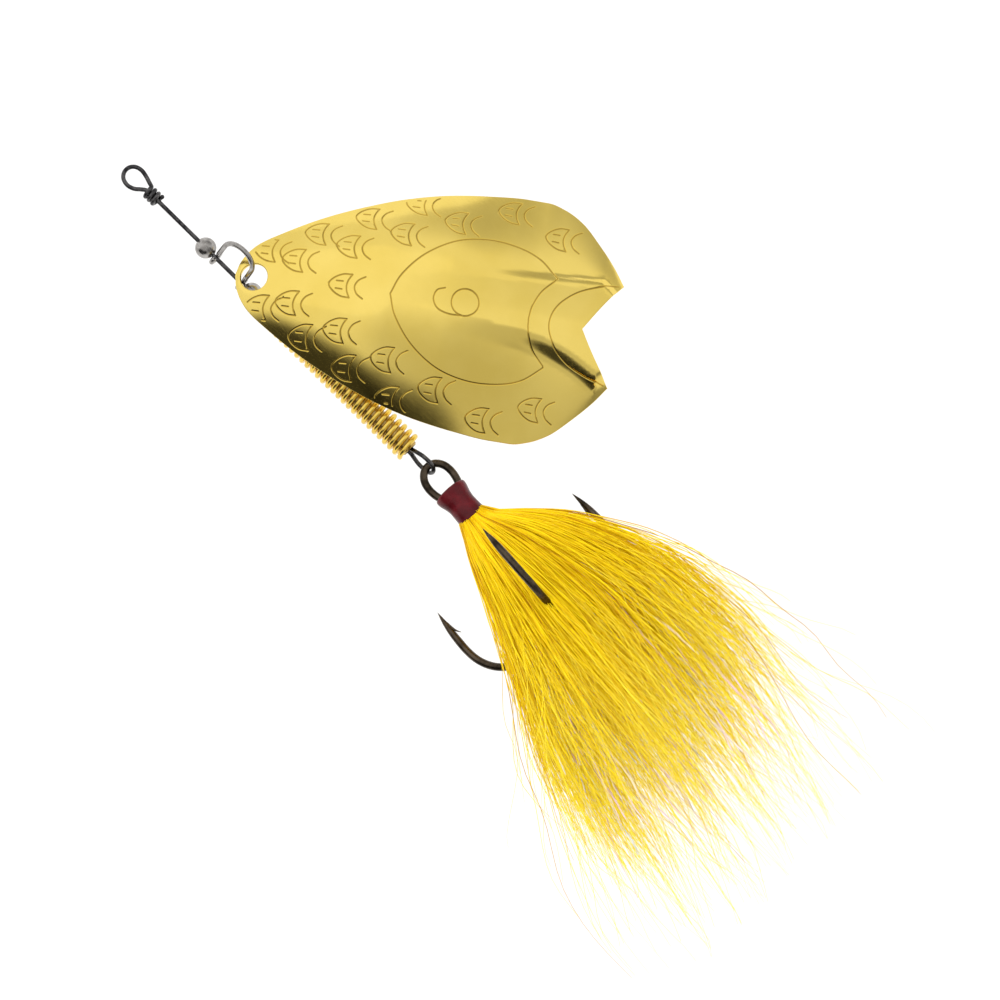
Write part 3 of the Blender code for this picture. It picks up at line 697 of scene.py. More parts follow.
def blade_top_mesh(loop, hole, engraved):
    """(uv points, triangles) of the face inside the loop and outside the hole, with extra points along the engraving."""
    points = [loop, hole]
    lines = []
    if engraved:
        for line in engraved_lines():
            line = resample(line, 0.30)
            inner = inset(loop, 0.45)
            ok = inside(line, inner) & (np.linalg.norm(line, axis=1) > BLADE_HOLE_R + 0.9)
            runs, start = [], None
            for i, good in enumerate(np.append(ok, False)):
                if good and start is None:
                    start = i
                if not good and start is not None:
                    if i - start >= 3:
                        runs.append(line[start:i])
                    start = None
            lines += runs
        rows = []
        for line in lines:
            t = np.gradient(line, axis=0)
            t /= np.linalg.norm(t, axis=1)[:, None]
            n = np.stack([-t[:, 1], t[:, 0]], axis=1)
            for off in (-1.0, -0.5, 0.0, 0.5, 1.0):
                rows.append(line + n * off * GROOVE_W)
            # a small fan of points closes each end
            for end, sign in ((0, -1), (-1, 1)):
                for share in (0.5, 1.0):
                    rows.append((line[end] + sign * t[end] * share * GROOVE_W)[None, :])
        dense = np.vstack(rows)
        dense = dense[inside(dense, inset(loop, 0.12)) & (np.linalg.norm(dense, axis=1) > BLADE_HOLE_R + 0.3)]
        dense = thinned(dense, 0.055)
        points.append(dense)
    gap = 0.55 if engraved else 0.9
    us, vs = np.meshgrid(np.arange(-3.2, TAIL_U + 0.5, gap), np.arange(-21.5, 21.5, gap))
    us[1::2] += gap / 2
    grid = np.stack([us.ravel(), vs.ravel()], axis=1)
    grid = grid[inside(grid, inset(loop, 0.25)) & (np.linalg.norm(grid, axis=1) > BLADE_HOLE_R + 0.35)]
    if engraved:
        tree = kdtree.KDTree(len(dense))
        for i, (x, y) in enumerate(dense):
            tree.insert((x, y, 0), i)
        tree.balance()
        grid = grid[[tree.find((x, y, 0))[2] > 0.22 for x, y in grid]]
    points.append(grid)
    verts = np.vstack(points)
    n, h = len(loop), len(hole)
    edges = [(i, (i + 1) % n) for i in range(n)] + [(n + i, n + (i + 1) % h) for i in range(h)]
    out_v, _, out_f, *_ = delaunay_2d_cdt([Vector((float(x), float(y))) for x, y in verts], edges, [], 0, 1e-6, False)
    uv = np.array([tuple(p) for p in out_v])
    tri = np.array([tuple(f) for f in out_f if len(f) == 3])
    mid = uv[tri].mean(1)
    ok = inside(mid, loop) & ~inside(mid, hole)
    tri = tri[ok]
    used = np.unique(tri)
    back = -np.ones(len(uv), int)
    back[used] = np.arange(len(used))
    return uv[used], back[tri], lines


def thinned(points, least):
    """Drops points nearer than `least` to one already kept."""
    cell = {}
    kept = []
    for x, y in points:
        key = (int(math.floor(x / least)), int(math.floor(y / least)))
        near = False
        for i in (-1, 0, 1):
            for j in (-1, 0, 1):
                for px, py in cell.get((key[0] + i, key[1] + j), ()):
                    if (px - x) ** 2 + (py - y) ** 2 < least * least:
                        near = True
        if not near:
            cell.setdefault(key, []).append((x, y))
            kept.append((x, y))
    return np.array(kept)


def groove(uv, lines):
    """(depth, slope along u, slope along v) of the engraving at each point."""
    if not lines:
        return np.zeros(len(uv)), np.zeros(len(uv)), np.zeros(len(uv))
    fine = np.vstack([resample(line, 0.03) for line in lines])
    tree = kdtree.KDTree(len(fine))
    for i, (x, y) in enumerate(fine):
        tree.insert((x, y, 0), i)
    tree.balance()
    near = np.array([(*tree.find((x, y, 0))[0][:2], tree.find((x, y, 0))[2]) for x, y in uv])
    d = near[:, 2]
    away = np.where(d[:, None] > 0.02, (uv - near[:, :2]) / np.maximum(d, 1e-6)[:, None], 0)
    share = np.clip(d / GROOVE_W, 0, 1)
    depth = GROOVE_D * 0.5 * (1 + np.cos(np.pi * share))
    slope = GROOVE_D * 0.5 * np.pi / GROOVE_W * np.sin(np.pi * share) * (share < 1)
    return depth, slope * away[:, 0], slope * away[:, 1]


def boundary_loops(tri):
    """Directed boundary edges of a triangle mesh, as closed loops of vertex numbers."""
    seen = {}
    for a, b, c in tri.tolist():
        for e in ((a, b), (b, c), (c, a)):
            seen[e] = True
    follow = {a: b for a, b in seen if (b, a) not in seen}
    loops = []
    while follow:
        start, at = next(iter(follow.items()))
        del follow[start]
        loop = [start]
        while at != start:
            loop.append(at)
            at = follow.pop(at)
        loops.append(loop)
    return loops


BLADE_GOLD = blade_material()


def make_blade():
    outline = closed_resample(blade_outline(), 0.40)
    corner = [(TAIL_U, TAIL_V * WIDEN), (NOTCH_U, 0.0), (TAIL_U, -TAIL_V * WIDEN)]
    for c in corner:  # keep the tips and the notch crisp
        i = int(np.argmin(np.linalg.norm(outline - np.array(c), axis=1)))
        outline[i] = c
    rim_in = inset(outline, 0.14)
    angles = np.linspace(0, math.tau, 56, endpoint=False)
    hole = np.stack([np.cos(angles), np.sin(angles)], axis=1) * (BLADE_HOLE_R + 0.12)
    uv, tri, lines = blade_top_mesh(rim_in, hole, True)
    uv_b, tri_b, _ = blade_top_mesh(rim_in, hole, False)

    def place(uv, side, depth=0.0, gu=0.0, gv=0.0):
        hu, hv = blade_slopes(uv[:, 0], uv[:, 1])
        n = np.stack([-hu, -hv, np.ones(len(uv))], axis=1)
        n /= np.linalg.norm(n, axis=1)[:, None]
        mid = np.stack([uv[:, 0], uv[:, 1], blade_height(uv[:, 0], uv[:, 1])], axis=1)
        p = mid + n * (side * BLADE_T / 2 - depth)[:, None] if not np.isscalar(depth) else mid + n * (side * BLADE_T / 2)
        m = np.stack([-(hu - gu * 1.0), -(hv - gv * 1.0), np.ones(len(uv))], axis=1) if not np.isscalar(gu) else n
        m = m / np.linalg.norm(m, axis=1)[:, None]
        return p, m * side

    depth, su, sv = groove(uv, lines)
    # a groove lowers the face: its height falls towards the line, so the slope away from the line is added
    top, top_n = place(uv, 1.0, depth, -su, -sv)
    low, low_n = place(uv_b, -1.0)
    verts, normals = [top, low], [top_n, low_n]
    faces = [tuple(t) if cross_z(uv, t) > 0 else tuple(t[::-1]) for t in tri.tolist()]
    tri = np.array(faces)
    base = len(top)
    low_faces = [tuple(t) if cross_z(uv_b, t) > 0 else tuple(t[::-1]) for t in tri_b.tolist()]
    tri_b = np.array(low_faces)
    faces += [tuple(i + base for i in t[::-1]) for t in low_faces]
    count = len(top) + len(low)
    # round the edge: rings between the two faces, each with its own outward step
    loops_t, loops_b = boundary_loops(tri), boundary_loops(tri_b)
    loops_t.sort(key=len, reverse=True)
    loops_b.sort(key=len, reverse=True)
    for loop_t, loop_b in zip(loops_t, loops_b):
        start = int(np.argmin(np.linalg.norm(uv_b[loop_b] - uv[loop_t[0]], axis=1)))
        loop_b = loop_b[start:] + loop_b[:start]
        p = uv[loop_t]
        t = np.roll(p, -1, 0) - np.roll(p, 1, 0)
        t /= np.linalg.norm(t, axis=1)[:, None]
        out2 = np.stack([t[:, 1], -t[:, 0]], axis=1)
        mid, _ = place(p, 0.0)
        hu, hv = blade_slopes(p[:, 0], p[:, 1])
        n = np.stack([-hu, -hv, np.ones(len(p))], axis=1)
        n /= np.linalg.norm(n, axis=1)[:, None]
        out3 = np.stack([out2[:, 0], out2[:, 1], out2[:, 0] * hu + out2[:, 1] * hv], axis=1)
        out3 -= n * np.sum(out3 * n, axis=1)[:, None]
        out3 /= np.linalg.norm(out3, axis=1)[:, None]
        rings = [(0.055, 0.375, 60), (0.105, 0.32, 32), (0.13, 0.23, 8), (0.13, -0.23, -8), (0.105, -0.32, -32), (0.055, -0.375, -60)]
        last = list(loop_t)
        for out_by, up_by, tilt in rings:
            ring = mid + out3 * out_by + n * up_by
            now = list(range(count, count + len(ring)))
            verts.append(ring)
            normals.append(out3 * math.cos(math.radians(tilt)) + n * math.sin(math.radians(tilt)))
            count += len(ring)
            for i in range(len(ring)):
                j = (i + 1) % len(ring)
                faces.append((last[j], last[i], now[i], now[j]))
            last = now
        low_loop = [i + base for i in loop_b]
        for i in range(len(last)):
            j = (i + 1) % len(last)
            faces.append((last[j], last[i], low_loop[i], low_loop[j]))
    verts, normals = np.vstack(verts), np.vstack(normals)
    obj = new_object("polished_blade", to_row(BLADE, verts), faces, BLADE_GOLD)
    # the groove depth per point drives the painted shade in the blade's material
    recess = obj.data.attributes.new("recess", "FLOAT", "POINT")
    values = np.zeros(len(verts), np.float32)
    values[: len(depth)] = depth / GROOVE_D
    recess.data.foreach_set("value", values)
    row_normals = normals @ BLADE[1]
    obj.data.normals_split_custom_set_from_vertices(row_normals.tolist())
    return obj


def cross_z(uv, t):
    a, b, c = uv[t[0]], uv[t[1]], uv[t[2]]
    return (b[0] - a[0]) * (c[1] - a[1]) - (b[1] - a[1]) * (c[0] - a[0])


blade = make_blade()
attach(blade, "blade_body")
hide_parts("blade")


# ---------------------------------------------------------------- treble hook
def hook_arm(azimuth, foot):
    out = np.array((0.0, math.cos(azimuth), math.sin(azimuth)))
    base = np.array((0.0, foot[0], foot[1]))
    pts, radii = [], []
    for i in range(0, 15):
        a = math.radians(-90 + 180 * i / 14)
        r = HOOK_BEND_MID + HOOK_BEND_R * math.sin(a)
        blend = min(max(i / 5.0, 0.0), 1.0)
        lateral = base * (1 - blend) + out * r * blend
        if i < 5:
            lateral = base * (1 - blend) ** 2 + out * (r - 0.35 * (1 - blend))
        pts.append(np.array((HOOK_BEND_X + HOOK_BEND_R * math.cos(a), 0, 0)) + lateral)
        radii.append(1.0)
    top = HOOK_BEND_MID + HOOK_BEND_R
    px, pr = HOOK_POINT
    for f, size in ((0.12, 1.0), (0.25, 0.99), (0.38, 0.95), (0.5, 0.88), (0.62, 0.76), (0.74, 0.59), (0.84, 0.40), (0.93, 0.20), (1.0, 0.04)):
        x = HOOK_BEND_X + (px - HOOK_BEND_X) * f
        r = top + (pr - top) * f * f
        pts.append(np.array((x, 0, 0)) + out * r)
        radii.append(size)
    return np.array(pts), np.array(radii)


LEG, LEG_Z, SINGLE_Z = 0.72, -0.42, 0.80
arms = {}
for key, degrees, foot in (("left", 210, (-LEG, LEG_Z)), ("right", 330, (LEG, LEG_Z)), ("up", 90, (0.0, SINGLE_Z))):
    arms[key] = hook_arm(math.radians(degrees), foot)
half_l, half_w = HOOK_EYE_HALF
neck = [
    (19.0, LEG, LEG_Z), (14.0, LEG, LEG_Z), (9.0, LEG, LEG_Z), (6.6, LEG + 0.06, LEG_Z), (5.0, 1.08, LEG_Z * 0.8),
    (3.4, 1.62, LEG_Z * 0.5), (1.9, 2.18, LEG_Z * 0.2), (0.4, half_w, 0.0),
]
front = [(-half_l * math.sin(a), half_w * math.cos(a), 0.0) for a in (math.radians(18 * i) for i in range(1, 10))]
ring = np.vstack([neck, front, [(x, -y, z) for x, y, z in neck[::-1]]])
double_path = np.vstack([arms["right"][0][::-1], ring, arms["left"][0]])
double_radii = np.concatenate([arms["right"][1][::-1], np.ones(len(ring)), arms["left"][1]])
single_path = np.vstack([[(7.2, 0.0, SINGLE_Z), (12.0, 0.0, SINGLE_Z), (19.0, 0.0, SINGLE_Z)], arms["up"][0]])
single_radii = np.concatenate([[0.9, 1.0, 1.0], arms["up"][1]])


def smooth_wire(path, radii, step=0.22):
    per = 6
    fine = smooth_path(path, per)
    r = np.interp(np.arange(len(fine)) / per, np.arange(len(radii)), radii)
    fine, r = resample(fine, step, r)
    return relax(fine, 3), r * HOOK_R


def barb_spike(azimuth):
    """A slim raised sliver on the spear's inner side, its tip standing off the wire and pointing back to the bend."""
    out = np.array((0.0, math.cos(azimuth), math.sin(azimuth)))
    start = np.array((17.2, 0, 0)) + out * (HOOK_POINT[1] + 0.12)
    tip = np.array((20.1, 0, 0)) + out * (HOOK_POINT[1] - 0.98)
    f = np.linspace(0, 1, 12)[:, None]
    sag = np.array((0.25, 0, 0)) + out * 0.16
    pts = start * (1 - f) + tip * f + sag * np.sin(np.pi * f)
    rad = 0.30 * (1 - f[:, 0]) ** 0.8 + 0.02
    return tube_mesh(pts, rad, 12, 0.7)


hook_wires = []
for name, node, path, radii, azimuths in (
    ("treble_double", "hook_double", double_path, double_radii, (210, 330)),
    ("treble_single", "hook_single", single_path, single_radii, (90,)),
):
    fine, r = smooth_wire(path, radii)
    hook_wires.append(fine)
    verts, faces = joined([tube_mesh(fine, r, 22)] + [barb_spike(math.radians(d)) for d in azimuths])
    obj = new_object(name, to_row(HOOK, verts), faces, BRONZE)
    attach(obj, "dressed_treble")
    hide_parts(node)

# ---------------------------------------------------------------- sleeve
sleeve_mid = (SLEEVE_X[0] + SLEEVE_X[1]) / 2
half = (SLEEVE_X[1] - SLEEVE_X[0]) / 2
outer_table = [(-half, 2.93), (-half + 0.25, 3.0), (-half + 2.2, 2.56), (0.2, 2.42), (half - 1.2, 2.52), (half, 2.60)]
profile = []
for x in np.linspace(half - 0.06, -half + 0.06, 34):
    profile.append((float(stations(outer_table, x)), float(x)))
profile += [(2.90, -half), (2.80, -half), (2.74, -half + 0.10), (2.28, -half + 2.2), (2.14, 0.4), (2.16, half - 0.10), (2.42, half), (2.53, half)]


def sleeve_wobble(x, a, r):
    if r < 2.35:
        return 0.0
    fold = math.sin(3 * a + 0.8 * x) * 0.018 + math.sin(7 * a - 1.7 * x + 1.0) * 0.010 + math.sin(2.6 * x + 2 * a) * 0.012
    return fold


verts, faces = lathe(profile, 96, sleeve_wobble)
sleeve = new_object("maroon_sleeve", to_row(HOOK, verts + np.array((sleeve_mid, 0, 0))), faces, sleeve_material())
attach(sleeve, "dressed_treble")
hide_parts("shank_sleeve")

# ---------------------------------------------------------------- hair
FAN = [(-2.0, 2.1), (0.0, 2.7), (4.0, 5.2), (12.0, 9.8), (18.0, 12.8), (25.0, 16.0), (34.0, 19.0), (42.0, 20.6), (50.0, 21.4), (60.0, 21.8), (90.0, 22.0)]
FAN_LEFT = [(-2.0, 2.1), (0.0, 2.8), (4.0, 6.9), (9.0, 11.6), (14.0, 14.9), (22.0, 19.0), (31.0, 22.2), (45.0, 24.2), (61.0, 24.2), (90.0, 24.6)]
FAN_RIGHT = [(-2.0, 2.1), (0.0, 2.9), (4.6, 5.0), (12.5, 7.7), (25.0, 12.6), (41.6, 19.4), (57.6, 22.6), (90.0, 24.0)]
rng = np.random.default_rng(20)
SEGMENTS = 26
HOOK_LINES = np.vstack(hook_wires)
HOOK_LINES = HOOK_LINES[HOOK_LINES[:, 0] > HAIR_ROOT]


def strand_paths(n, azimuth, span, locks, length, spread=1.0, wild=0.0):
    """n strand paths in the hook frame, as (n, points, 3): most lie in locks that close to a point, the rest lie loose."""
    t = np.linspace(0, 1, SEGMENTS)[None, :]
    group = rng.integers(0, locks, n)
    l_phi = (np.arange(locks) + rng.uniform(0.1, 0.9, locks)) / locks * 2 - 1
    l_phi = rng.permutation(l_phi) * span * 0.95
    l_rho = np.sqrt(rng.uniform(0.06, 0.98, locks))
    l_run = length * rng.uniform(0.70, 1.06, locks)
    loose = rng.random(n) < 0.24 + wild
    phi = np.where(loose, rng.uniform(-1, 1, n) * span * 1.04, np.clip(l_phi[group] + rng.normal(0, 0.36, n) * span, -span * 1.05, span * 1.05)) + azimuth
    rho = np.where(loose, np.sqrt(rng.uniform(0.05, 1.06, n)), np.clip(l_rho[group] + rng.normal(0, 0.20, n), 0.03, 1.04))
    # lengths are uneven: most strands end well inside their lock's own length
    run = l_run[group] * (0.46 + 0.56 * rng.beta(1.9, 1.5, n))
    run = np.where(loose, length * (0.44 + (0.52 + 0.14 * wild) * rng.beta(2.0, 1.9 - 0.9 * wild, n)), run)
    x = HAIR_ROOT - 1.2 + (run[:, None] + 1.2) * t
    along = x - HAIR_ROOT
    upright = stations(FAN, along)
    left, right = stations(FAN_LEFT, along), stations(FAN_RIGHT, along)
    close = np.where(loose, 0.0, 0.84)[:, None] * smoothstep(0.32, 1.0, along / l_run[group][:, None])
    c_phi, c_rho = l_phi[group] + azimuth, l_rho[group] * spread
    wide = (rho * spread * np.cos(phi))[:, None] * (1 - close) + (c_rho * np.cos(c_phi))[:, None] * close
    tall = (rho * spread * np.sin(phi))[:, None] * (1 - close) + (c_rho * np.sin(c_phi))[:, None] * close
    y = wide * np.where(wide > 0, left, right)
    z = tall * upright * 0.90
    # every lock leans as one, every strand has its own long bend, and a finer wave runs along it
    lean = rng.normal(0, 1, (locks, 2))[group]
    own = rng.normal(0, 1, (n, 2))
    soft = t**1.7
    y += (lean[:, :1] * 1.6 + own[:, :1] * (1.5 + 2.6 * wild)) * soft
    z += (lean[:, 1:] * 0.8 + own[:, 1:] * (0.7 + 1.4 * wild)) * soft
    y += rng.normal(0, 1, (n, 1)) * (0.8 + 2.6 * wild) * smoothstep(0.5, 1.0, t) ** 2
    for waves, size in ((rng.uniform(0.8, 2.4, (n, 1)), 0.16 + 0.62 * rng.random((n, 1)) ** 1.3), (rng.uniform(3.0, 5.5, (n, 1)), 0.05 + 0.20 * rng.random((n, 1)))):
        phase = rng.uniform(0, math.tau, (n, 2))
        size = size * (1 + 1.4 * wild)
        y += size * np.sin(math.tau * waves * t + phase[:, :1]) * t
        z += size * np.sin(math.tau * waves * t + phase[:, 1:]) * t
    y -= 0.0012 * np.maximum(x - 30.0, 0.0) ** 2
    z -= 0.0022 * np.maximum(x - 33.0, 0.0) ** 2
    return np.stack([x, y, z], axis=2)


def clear_of_hooks(paths, room):
    """Moves strand points sideways out of the hook wire, in two passes."""
    for _ in range(2):
        flat = paths.reshape(-1, 3)
        near = flat[:, 0] > HAIR_ROOT + 1
        p = flat[near]
        best, foot = np.full(len(p), 1e9), np.zeros_like(p)
        for chunk in range(0, len(HOOK_LINES), 64):
            d = p[:, None, :] - HOOK_LINES[None, chunk : chunk + 64, :]
            s = np.einsum("ijk,ijk->ij", d, d)
            i = s.argmin(1)
            v = s[np.arange(len(p)), i]
            better = v < best
            best = np.where(better, v, best)
            foot[better] = HOOK_LINES[chunk : chunk + 64][i[better]]
        d = np.sqrt(best)
        push = np.maximum(room - d, 0)
        way = p - foot
        way[:, 0] *= 0.2
        size = np.maximum(np.linalg.norm(way, axis=1), 1e-6)
        p = p + way / size[:, None] * push[:, None]
        flat[near] = p
        paths = flat.reshape(paths.shape)
    return paths


def over_table(paths, low=0.12):
    """Keeps the strands above the table the lure lies on."""
    row = to_row(HOOK, paths.reshape(-1, 3)).reshape(paths.shape)
    lift = rng.uniform(0, 1, (len(row), 1)) * 0.9
    floor = low + lift * smoothstep(0, 0.3, np.linspace(0, 1, row.shape[1]))[None, :]
    z = row[:, :, 2]
    under = z < floor
    row[:, :, 2] = np.where(under, floor, z)
    # the longest ones curl in before they reach the edge of the lure's box
    past = np.maximum(np.abs(row[:, :, 1]) - 43.5, 0.0)
    row[:, :, 1] = np.sign(row[:, :, 1]) * (np.minimum(np.abs(row[:, :, 1]), 43.5) + 3.6 * np.tanh(past / 3.6))
    past = np.maximum(row[:, :, 0] - 84.0, 0.0)
    row[:, :, 0] = np.minimum(row[:, :, 0], 84.0) + 3.6 * np.tanh(past / 3.6)
    return row


def strand_mesh(name, row_paths, radii, mat, ribbon=None, twist=None):
    """One mesh of thin three-sided strands, or four-sided ribbons, with the strand map as its UVs."""
    n, s = row_paths.shape[:2]
    t = np.gradient(row_paths, axis=1)
    t /= np.linalg.norm(t, axis=2)[:, :, None]
    ref = rng.normal(0, 1, (n, 1, 3))
    e1 = np.cross(t, ref)
    e1 /= np.linalg.norm(e1, axis=2)[:, :, None]
    e2 = np.cross(t, e1)
    if ribbon:
        turn = twist
        c, q = np.cos(turn)[:, :, None], np.sin(turn)[:, :, None]
        e1, e2 = e1 * c + e2 * q, -e1 * q + e2 * c
        corners = [(1.0, ribbon), (-1.0, ribbon), (-1.0, -ribbon), (1.0, -ribbon)]
    else:
        corners = [(math.cos(a), math.sin(a)) for a in (math.radians(90), math.radians(210), math.radians(330))]
    sides = len(corners)
    rings = np.stack([row_paths + radii[:, :, None] * (e1 * cx + e2 * cy) for cx, cy in corners], axis=2)
    verts = rings.reshape(-1, 3)
    base = (np.arange(n) * s * sides)[:, None, None]
    k = (np.arange(s - 1) * sides)[None, :, None]
    i = np.arange(sides)[None, None, :]
    j = (np.arange(sides) + 1) % sides
    j = j[None, None, :]
    quads = np.stack([base + k + i, base + k + j, base + k + sides + j, base + k + sides + i], axis=3).reshape(-1, 4)
    ends_a = (np.arange(n) * s * sides)[:, None] + np.arange(sides)[::-1][None, :]
    ends_b = (np.arange(n) * s * sides + (s - 1) * sides)[:, None] + np.arange(sides)[None, :]
    faces = quads.tolist() + ends_a.tolist() + ends_b.tolist()
    obj = new_object(name, verts, faces, mat)
    # strand map: across, one narrow column per strand; along, root to tip
    column = rng.permutation(n)
    u_left = (column[:, None, None] + 0.08 + 0.84 * np.arange(sides)[None, None, :] / sides) / n
    u_right = u_left + 0.84 / sides / n
    v_low = (np.arange(s - 1) / (s - 1))[None, :, None]
    v_high = (np.arange(1, s) / (s - 1))[None, :, None]
    shape = (n, s - 1, sides)
    ul, ur = np.broadcast_to(u_left, shape), np.broadcast_to(u_right, shape)
    vl, vh = np.broadcast_to(v_low, shape), np.broadcast_to(v_high, shape)
    uv_quads = np.stack([np.stack([ul, vl], -1), np.stack([ur, vl], -1), np.stack([ur, vh], -1), np.stack([ul, vh], -1)], axis=3).reshape(-1, 2)
    wide = (column[:, None] + 0.08 + 0.84 * np.arange(sides)[None, :] / (sides - 1)) / n
    cap_v = np.where(np.arange(sides) % 2 == 0, 0.0, 0.004)[None, :] * np.ones((n, 1))
    uv_a = np.stack([wide[:, ::-1], cap_v], -1).reshape(-1, 2)
    uv_b = np.stack([wide, 1 - cap_v], -1).reshape(-1, 2)
    uvs = np.vstack([uv_quads, uv_a, uv_b]).astype(np.float32)
    layer = obj.data.uv_layers.new(name="OFBake")
    layer.data.foreach_set("uv", np.clip(uvs, 0, 1).ravel())
    return obj


def taper(n, base, tip, power=2.0):
    t = np.linspace(0, 1, SEGMENTS)[None, :]
    size = base * (0.75 + 0.5 * rng.random((n, 1)))
    return size * (1 - (1 - tip) * t**power)


TUFTS = (
    ("hair_left", 0, 620), ("hair_upper_left", 60, 640), ("hair_upper_right", 120, 660),
    ("hair_right", 180, 640), ("hair_lower_right", 240, 520), ("hair_lower_left", 300, 520),
)
for name, degrees, n in TUFTS:
    main = strand_paths(n, math.radians(degrees), math.radians(31), 6, HAIR_LENGTH)
    fly = strand_paths(n // 7, math.radians(degrees), math.radians(34), 12, HAIR_LENGTH * 1.08, 1.04, 1.0)
    paths = clear_of_hooks(np.vstack([main, fly]), HOOK_R + 0.10)
    row = over_table(paths)
    count = len(row)
    obj = strand_mesh("strands_" + name, row, taper(count, 0.085, 0.38) * np.where(np.arange(count) < n, 1.0, 0.90)[:, None], hair_material("yellow_" + name, count, (0.92, 0.62, 0.004)))
    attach(obj, "dressed_treble")
    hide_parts(name)

for name, degrees, n in (("flash_left", 30, 46), ("flash_right", 150, 60), ("flash_lower", 270, 40)):
    paths = strand_paths(n, math.radians(degrees), math.radians(20), 6, HAIR_LENGTH * 0.99, 0.75, 0.5)
    row = over_table(clear_of_hooks(paths, HOOK_R + 0.2))
    t = np.linspace(0, 1, SEGMENTS)[None, :]
    twist = rng.uniform(0, math.tau, (n, 1)) + rng.uniform(6, 14, (n, 1)) * t
    obj = strand_mesh("strands_" + name, row, taper(n, 0.20, 0.8), flash_material("pearl_" + name, n), ribbon=0.16, twist=twist)
    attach(obj, "dressed_treble")
    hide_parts(name)

# ---------------------------------------------------------------- CAD nodes that stay
for name, mat in (("body_weight", BRASS), ("thread_binding", thread_material())):
    mesh = NODES[name].data
    mesh.materials.clear()
    mesh.materials.append(mat)

# ---------------------------------------------------------------- floor, light and camera
floor_mat, tree, shader = node_material("studio_floor")
shader.inputs["Base Color"].default_value = (0.50, 0.50, 0.50, 1)
shader.inputs["Roughness"].default_value = 0.9
shader.inputs["Emission Color"].default_value = (1, 1, 1, 1)
shader.inputs["Emission Strength"].default_value = 0.34
FLOOR_Z = -80.0
floor = new_object(
    "studio_floor_plane",
    [(-4000, -4000, FLOOR_Z), (4000, -4000, FLOOR_Z), (4000, 4000, FLOOR_Z), (-4000, 4000, FLOOR_Z)],
    [(0, 1, 2, 3)],
    floor_mat,
    False,
)

ROLL = math.radians(44.57)


def image_direction(right, up, toward):
    """A row direction from the picture's right, up and toward-the-viewer directions."""
    v = Vector((right * math.cos(ROLL) - up * math.sin(ROLL), right * math.sin(ROLL) + up * math.cos(ROLL), toward))
    return v.normalized()


world = bpy.data.worlds.new("studio")
bpy.context.scene.world = world
world.use_nodes = True
tree = world.node_tree
tree.nodes.clear()
coords = tree.nodes.new("ShaderNodeTexCoord")
value = None


def lobe(direction, inner, outer, factor):
    """Multiplies the sky by `factor` within `inner` degrees of a direction, easing out to `outer`."""
    global value
    dot = tree.nodes.new("ShaderNodeVectorMath")
    dot.operation = "DOT_PRODUCT"
    dot.inputs[1].default_value = direction
    tree.links.new(coords.outputs["Generated"], dot.inputs[0])
    node = tree.nodes.new("ShaderNodeMapRange")
    node.interpolation_type = "SMOOTHSTEP"
    node.inputs["From Min"].default_value = math.cos(math.radians(outer))
    node.inputs["From Max"].default_value = math.cos(math.radians(inner))
    node.inputs["To Min"].default_value = 1.0
    node.inputs["To Max"].default_value = factor
    tree.links.new(dot.outputs["Value"], node.inputs["Value"])
    if value is None:
        value = node.outputs["Result"]
        return
    times = tree.nodes.new("ShaderNodeMath")
    times.operation = "MULTIPLY"
    tree.links.new(value, times.inputs[0])
    tree.links.new(node.outputs["Result"], times.inputs[1])
    value = times.outputs["Value"]




def sky_direction(turn, polar):
    """A direction `polar` degrees off the viewer's axis, turned from the picture's right towards its top."""
    t, p = math.radians(turn), math.radians(polar)
    return image_direction(math.cos(t) * math.sin(p), math.sin(t) * math.sin(p), math.cos(p))


lobe(sky_direction(125, 30), 12, 60, 1.05)
lobe(sky_direction(-60, 30), 5, 48, 0.66)
lobe(sky_direction(-138, 70), 20, 38, 0.05)
lobe(sky_direction(-98, 54), 12, 26, 0.07)
lobe(sky_direction(-30, 54), 6, 30, 0.45)
lobe(sky_direction(60, 88), 8, 40, 0.55)
back = tree.nodes.new("ShaderNodeBackground")
tree.links.new(value, back.inputs["Strength"])
back.inputs["Color"].default_value = (1.0, 1.0, 1.0, 1)
plain = tree.nodes.new("ShaderNodeBackground")
plain.inputs["Color"].default_value = (1.0, 1.0, 1.0, 1)
plain.inputs["Strength"].default_value = 1.0
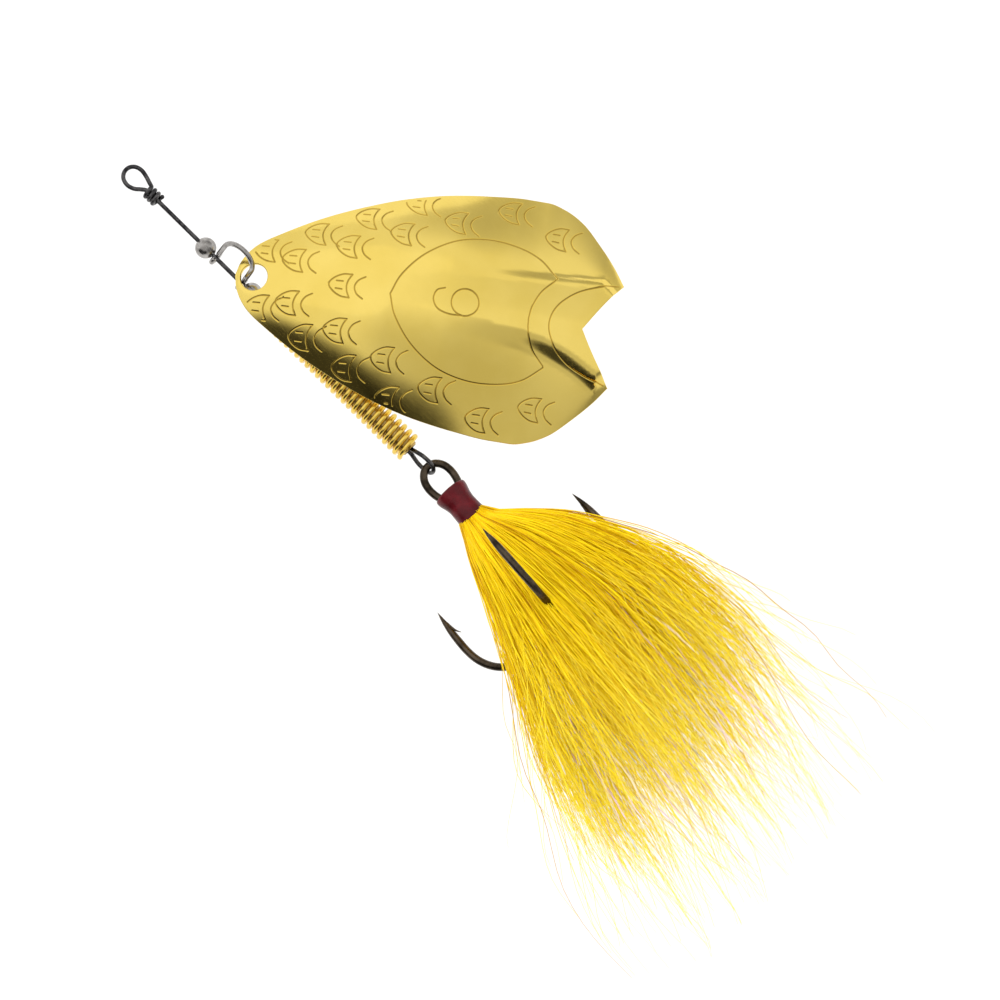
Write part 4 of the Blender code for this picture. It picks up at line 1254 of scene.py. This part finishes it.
# fibres and other dull faces gather light from a brighter, even sky
even = tree.nodes.new("ShaderNodeBackground")
even.inputs["Color"].default_value = (1.0, 1.0, 1.0, 1)
even.inputs["Strength"].default_value = 1.68
path = tree.nodes.new("ShaderNodeLightPath")
dull = tree.nodes.new("ShaderNodeMixShader")
tree.links.new(path.outputs["Is Diffuse Ray"], dull.inputs["Fac"])
tree.links.new(back.outputs["Background"], dull.inputs[1])
tree.links.new(even.outputs["Background"], dull.inputs[2])
mix = tree.nodes.new("ShaderNodeMixShader")
tree.links.new(path.outputs["Is Camera Ray"], mix.inputs["Fac"])
tree.links.new(dull.outputs["Shader"], mix.inputs[1])
tree.links.new(plain.outputs["Background"], mix.inputs[2])
out = tree.nodes.new("ShaderNodeOutputWorld")
tree.links.new(mix.outputs["Shader"], out.inputs["Surface"])
value = None


def soft_box(name, direction, distance, size, watts):
    lamp = bpy.data.lights.new(name, "AREA")
    lamp.shape, lamp.size, lamp.energy = "DISK", size, watts
    obj = bpy.data.objects.new(name, lamp)
    bpy.context.scene.collection.objects.link(obj)
    obj.location = direction * distance
    obj.rotation_mode = "QUATERNION"
    obj.rotation_quaternion = (-direction).to_track_quat("-Z", "Y")
    return obj


soft_box("key_soft_box", image_direction(-0.45, 0.65, 1.0), 2.4, 2.4, 1.6)

CENTRE = (np.array((83.57, 4.5, 0.0)) - np.array((ORIGIN[0], ORIGIN[1], 0.0))) * MM
camera_data = bpy.data.cameras.new("camera")
camera = bpy.data.objects.new("camera", camera_data)
bpy.context.scene.collection.objects.link(camera)
camera_data.sensor_width = 36.0
CAMERA_Z = 2.0
camera_data.lens = 36.0 * (CAMERA_Z - 0.006) / 0.16667
camera_data.clip_start, camera_data.clip_end = 0.1, 20.0
camera.location = (CENTRE[0], CENTRE[1], CAMERA_Z)
camera.rotation_euler = (0.0, 0.0, ROLL)
bpy.context.scene.camera = camera
bpy.context.scene.view_settings.view_transform = "Standard"
bpy.context.scene.view_settings.look = "None"

bpy.context.view_layer.update()
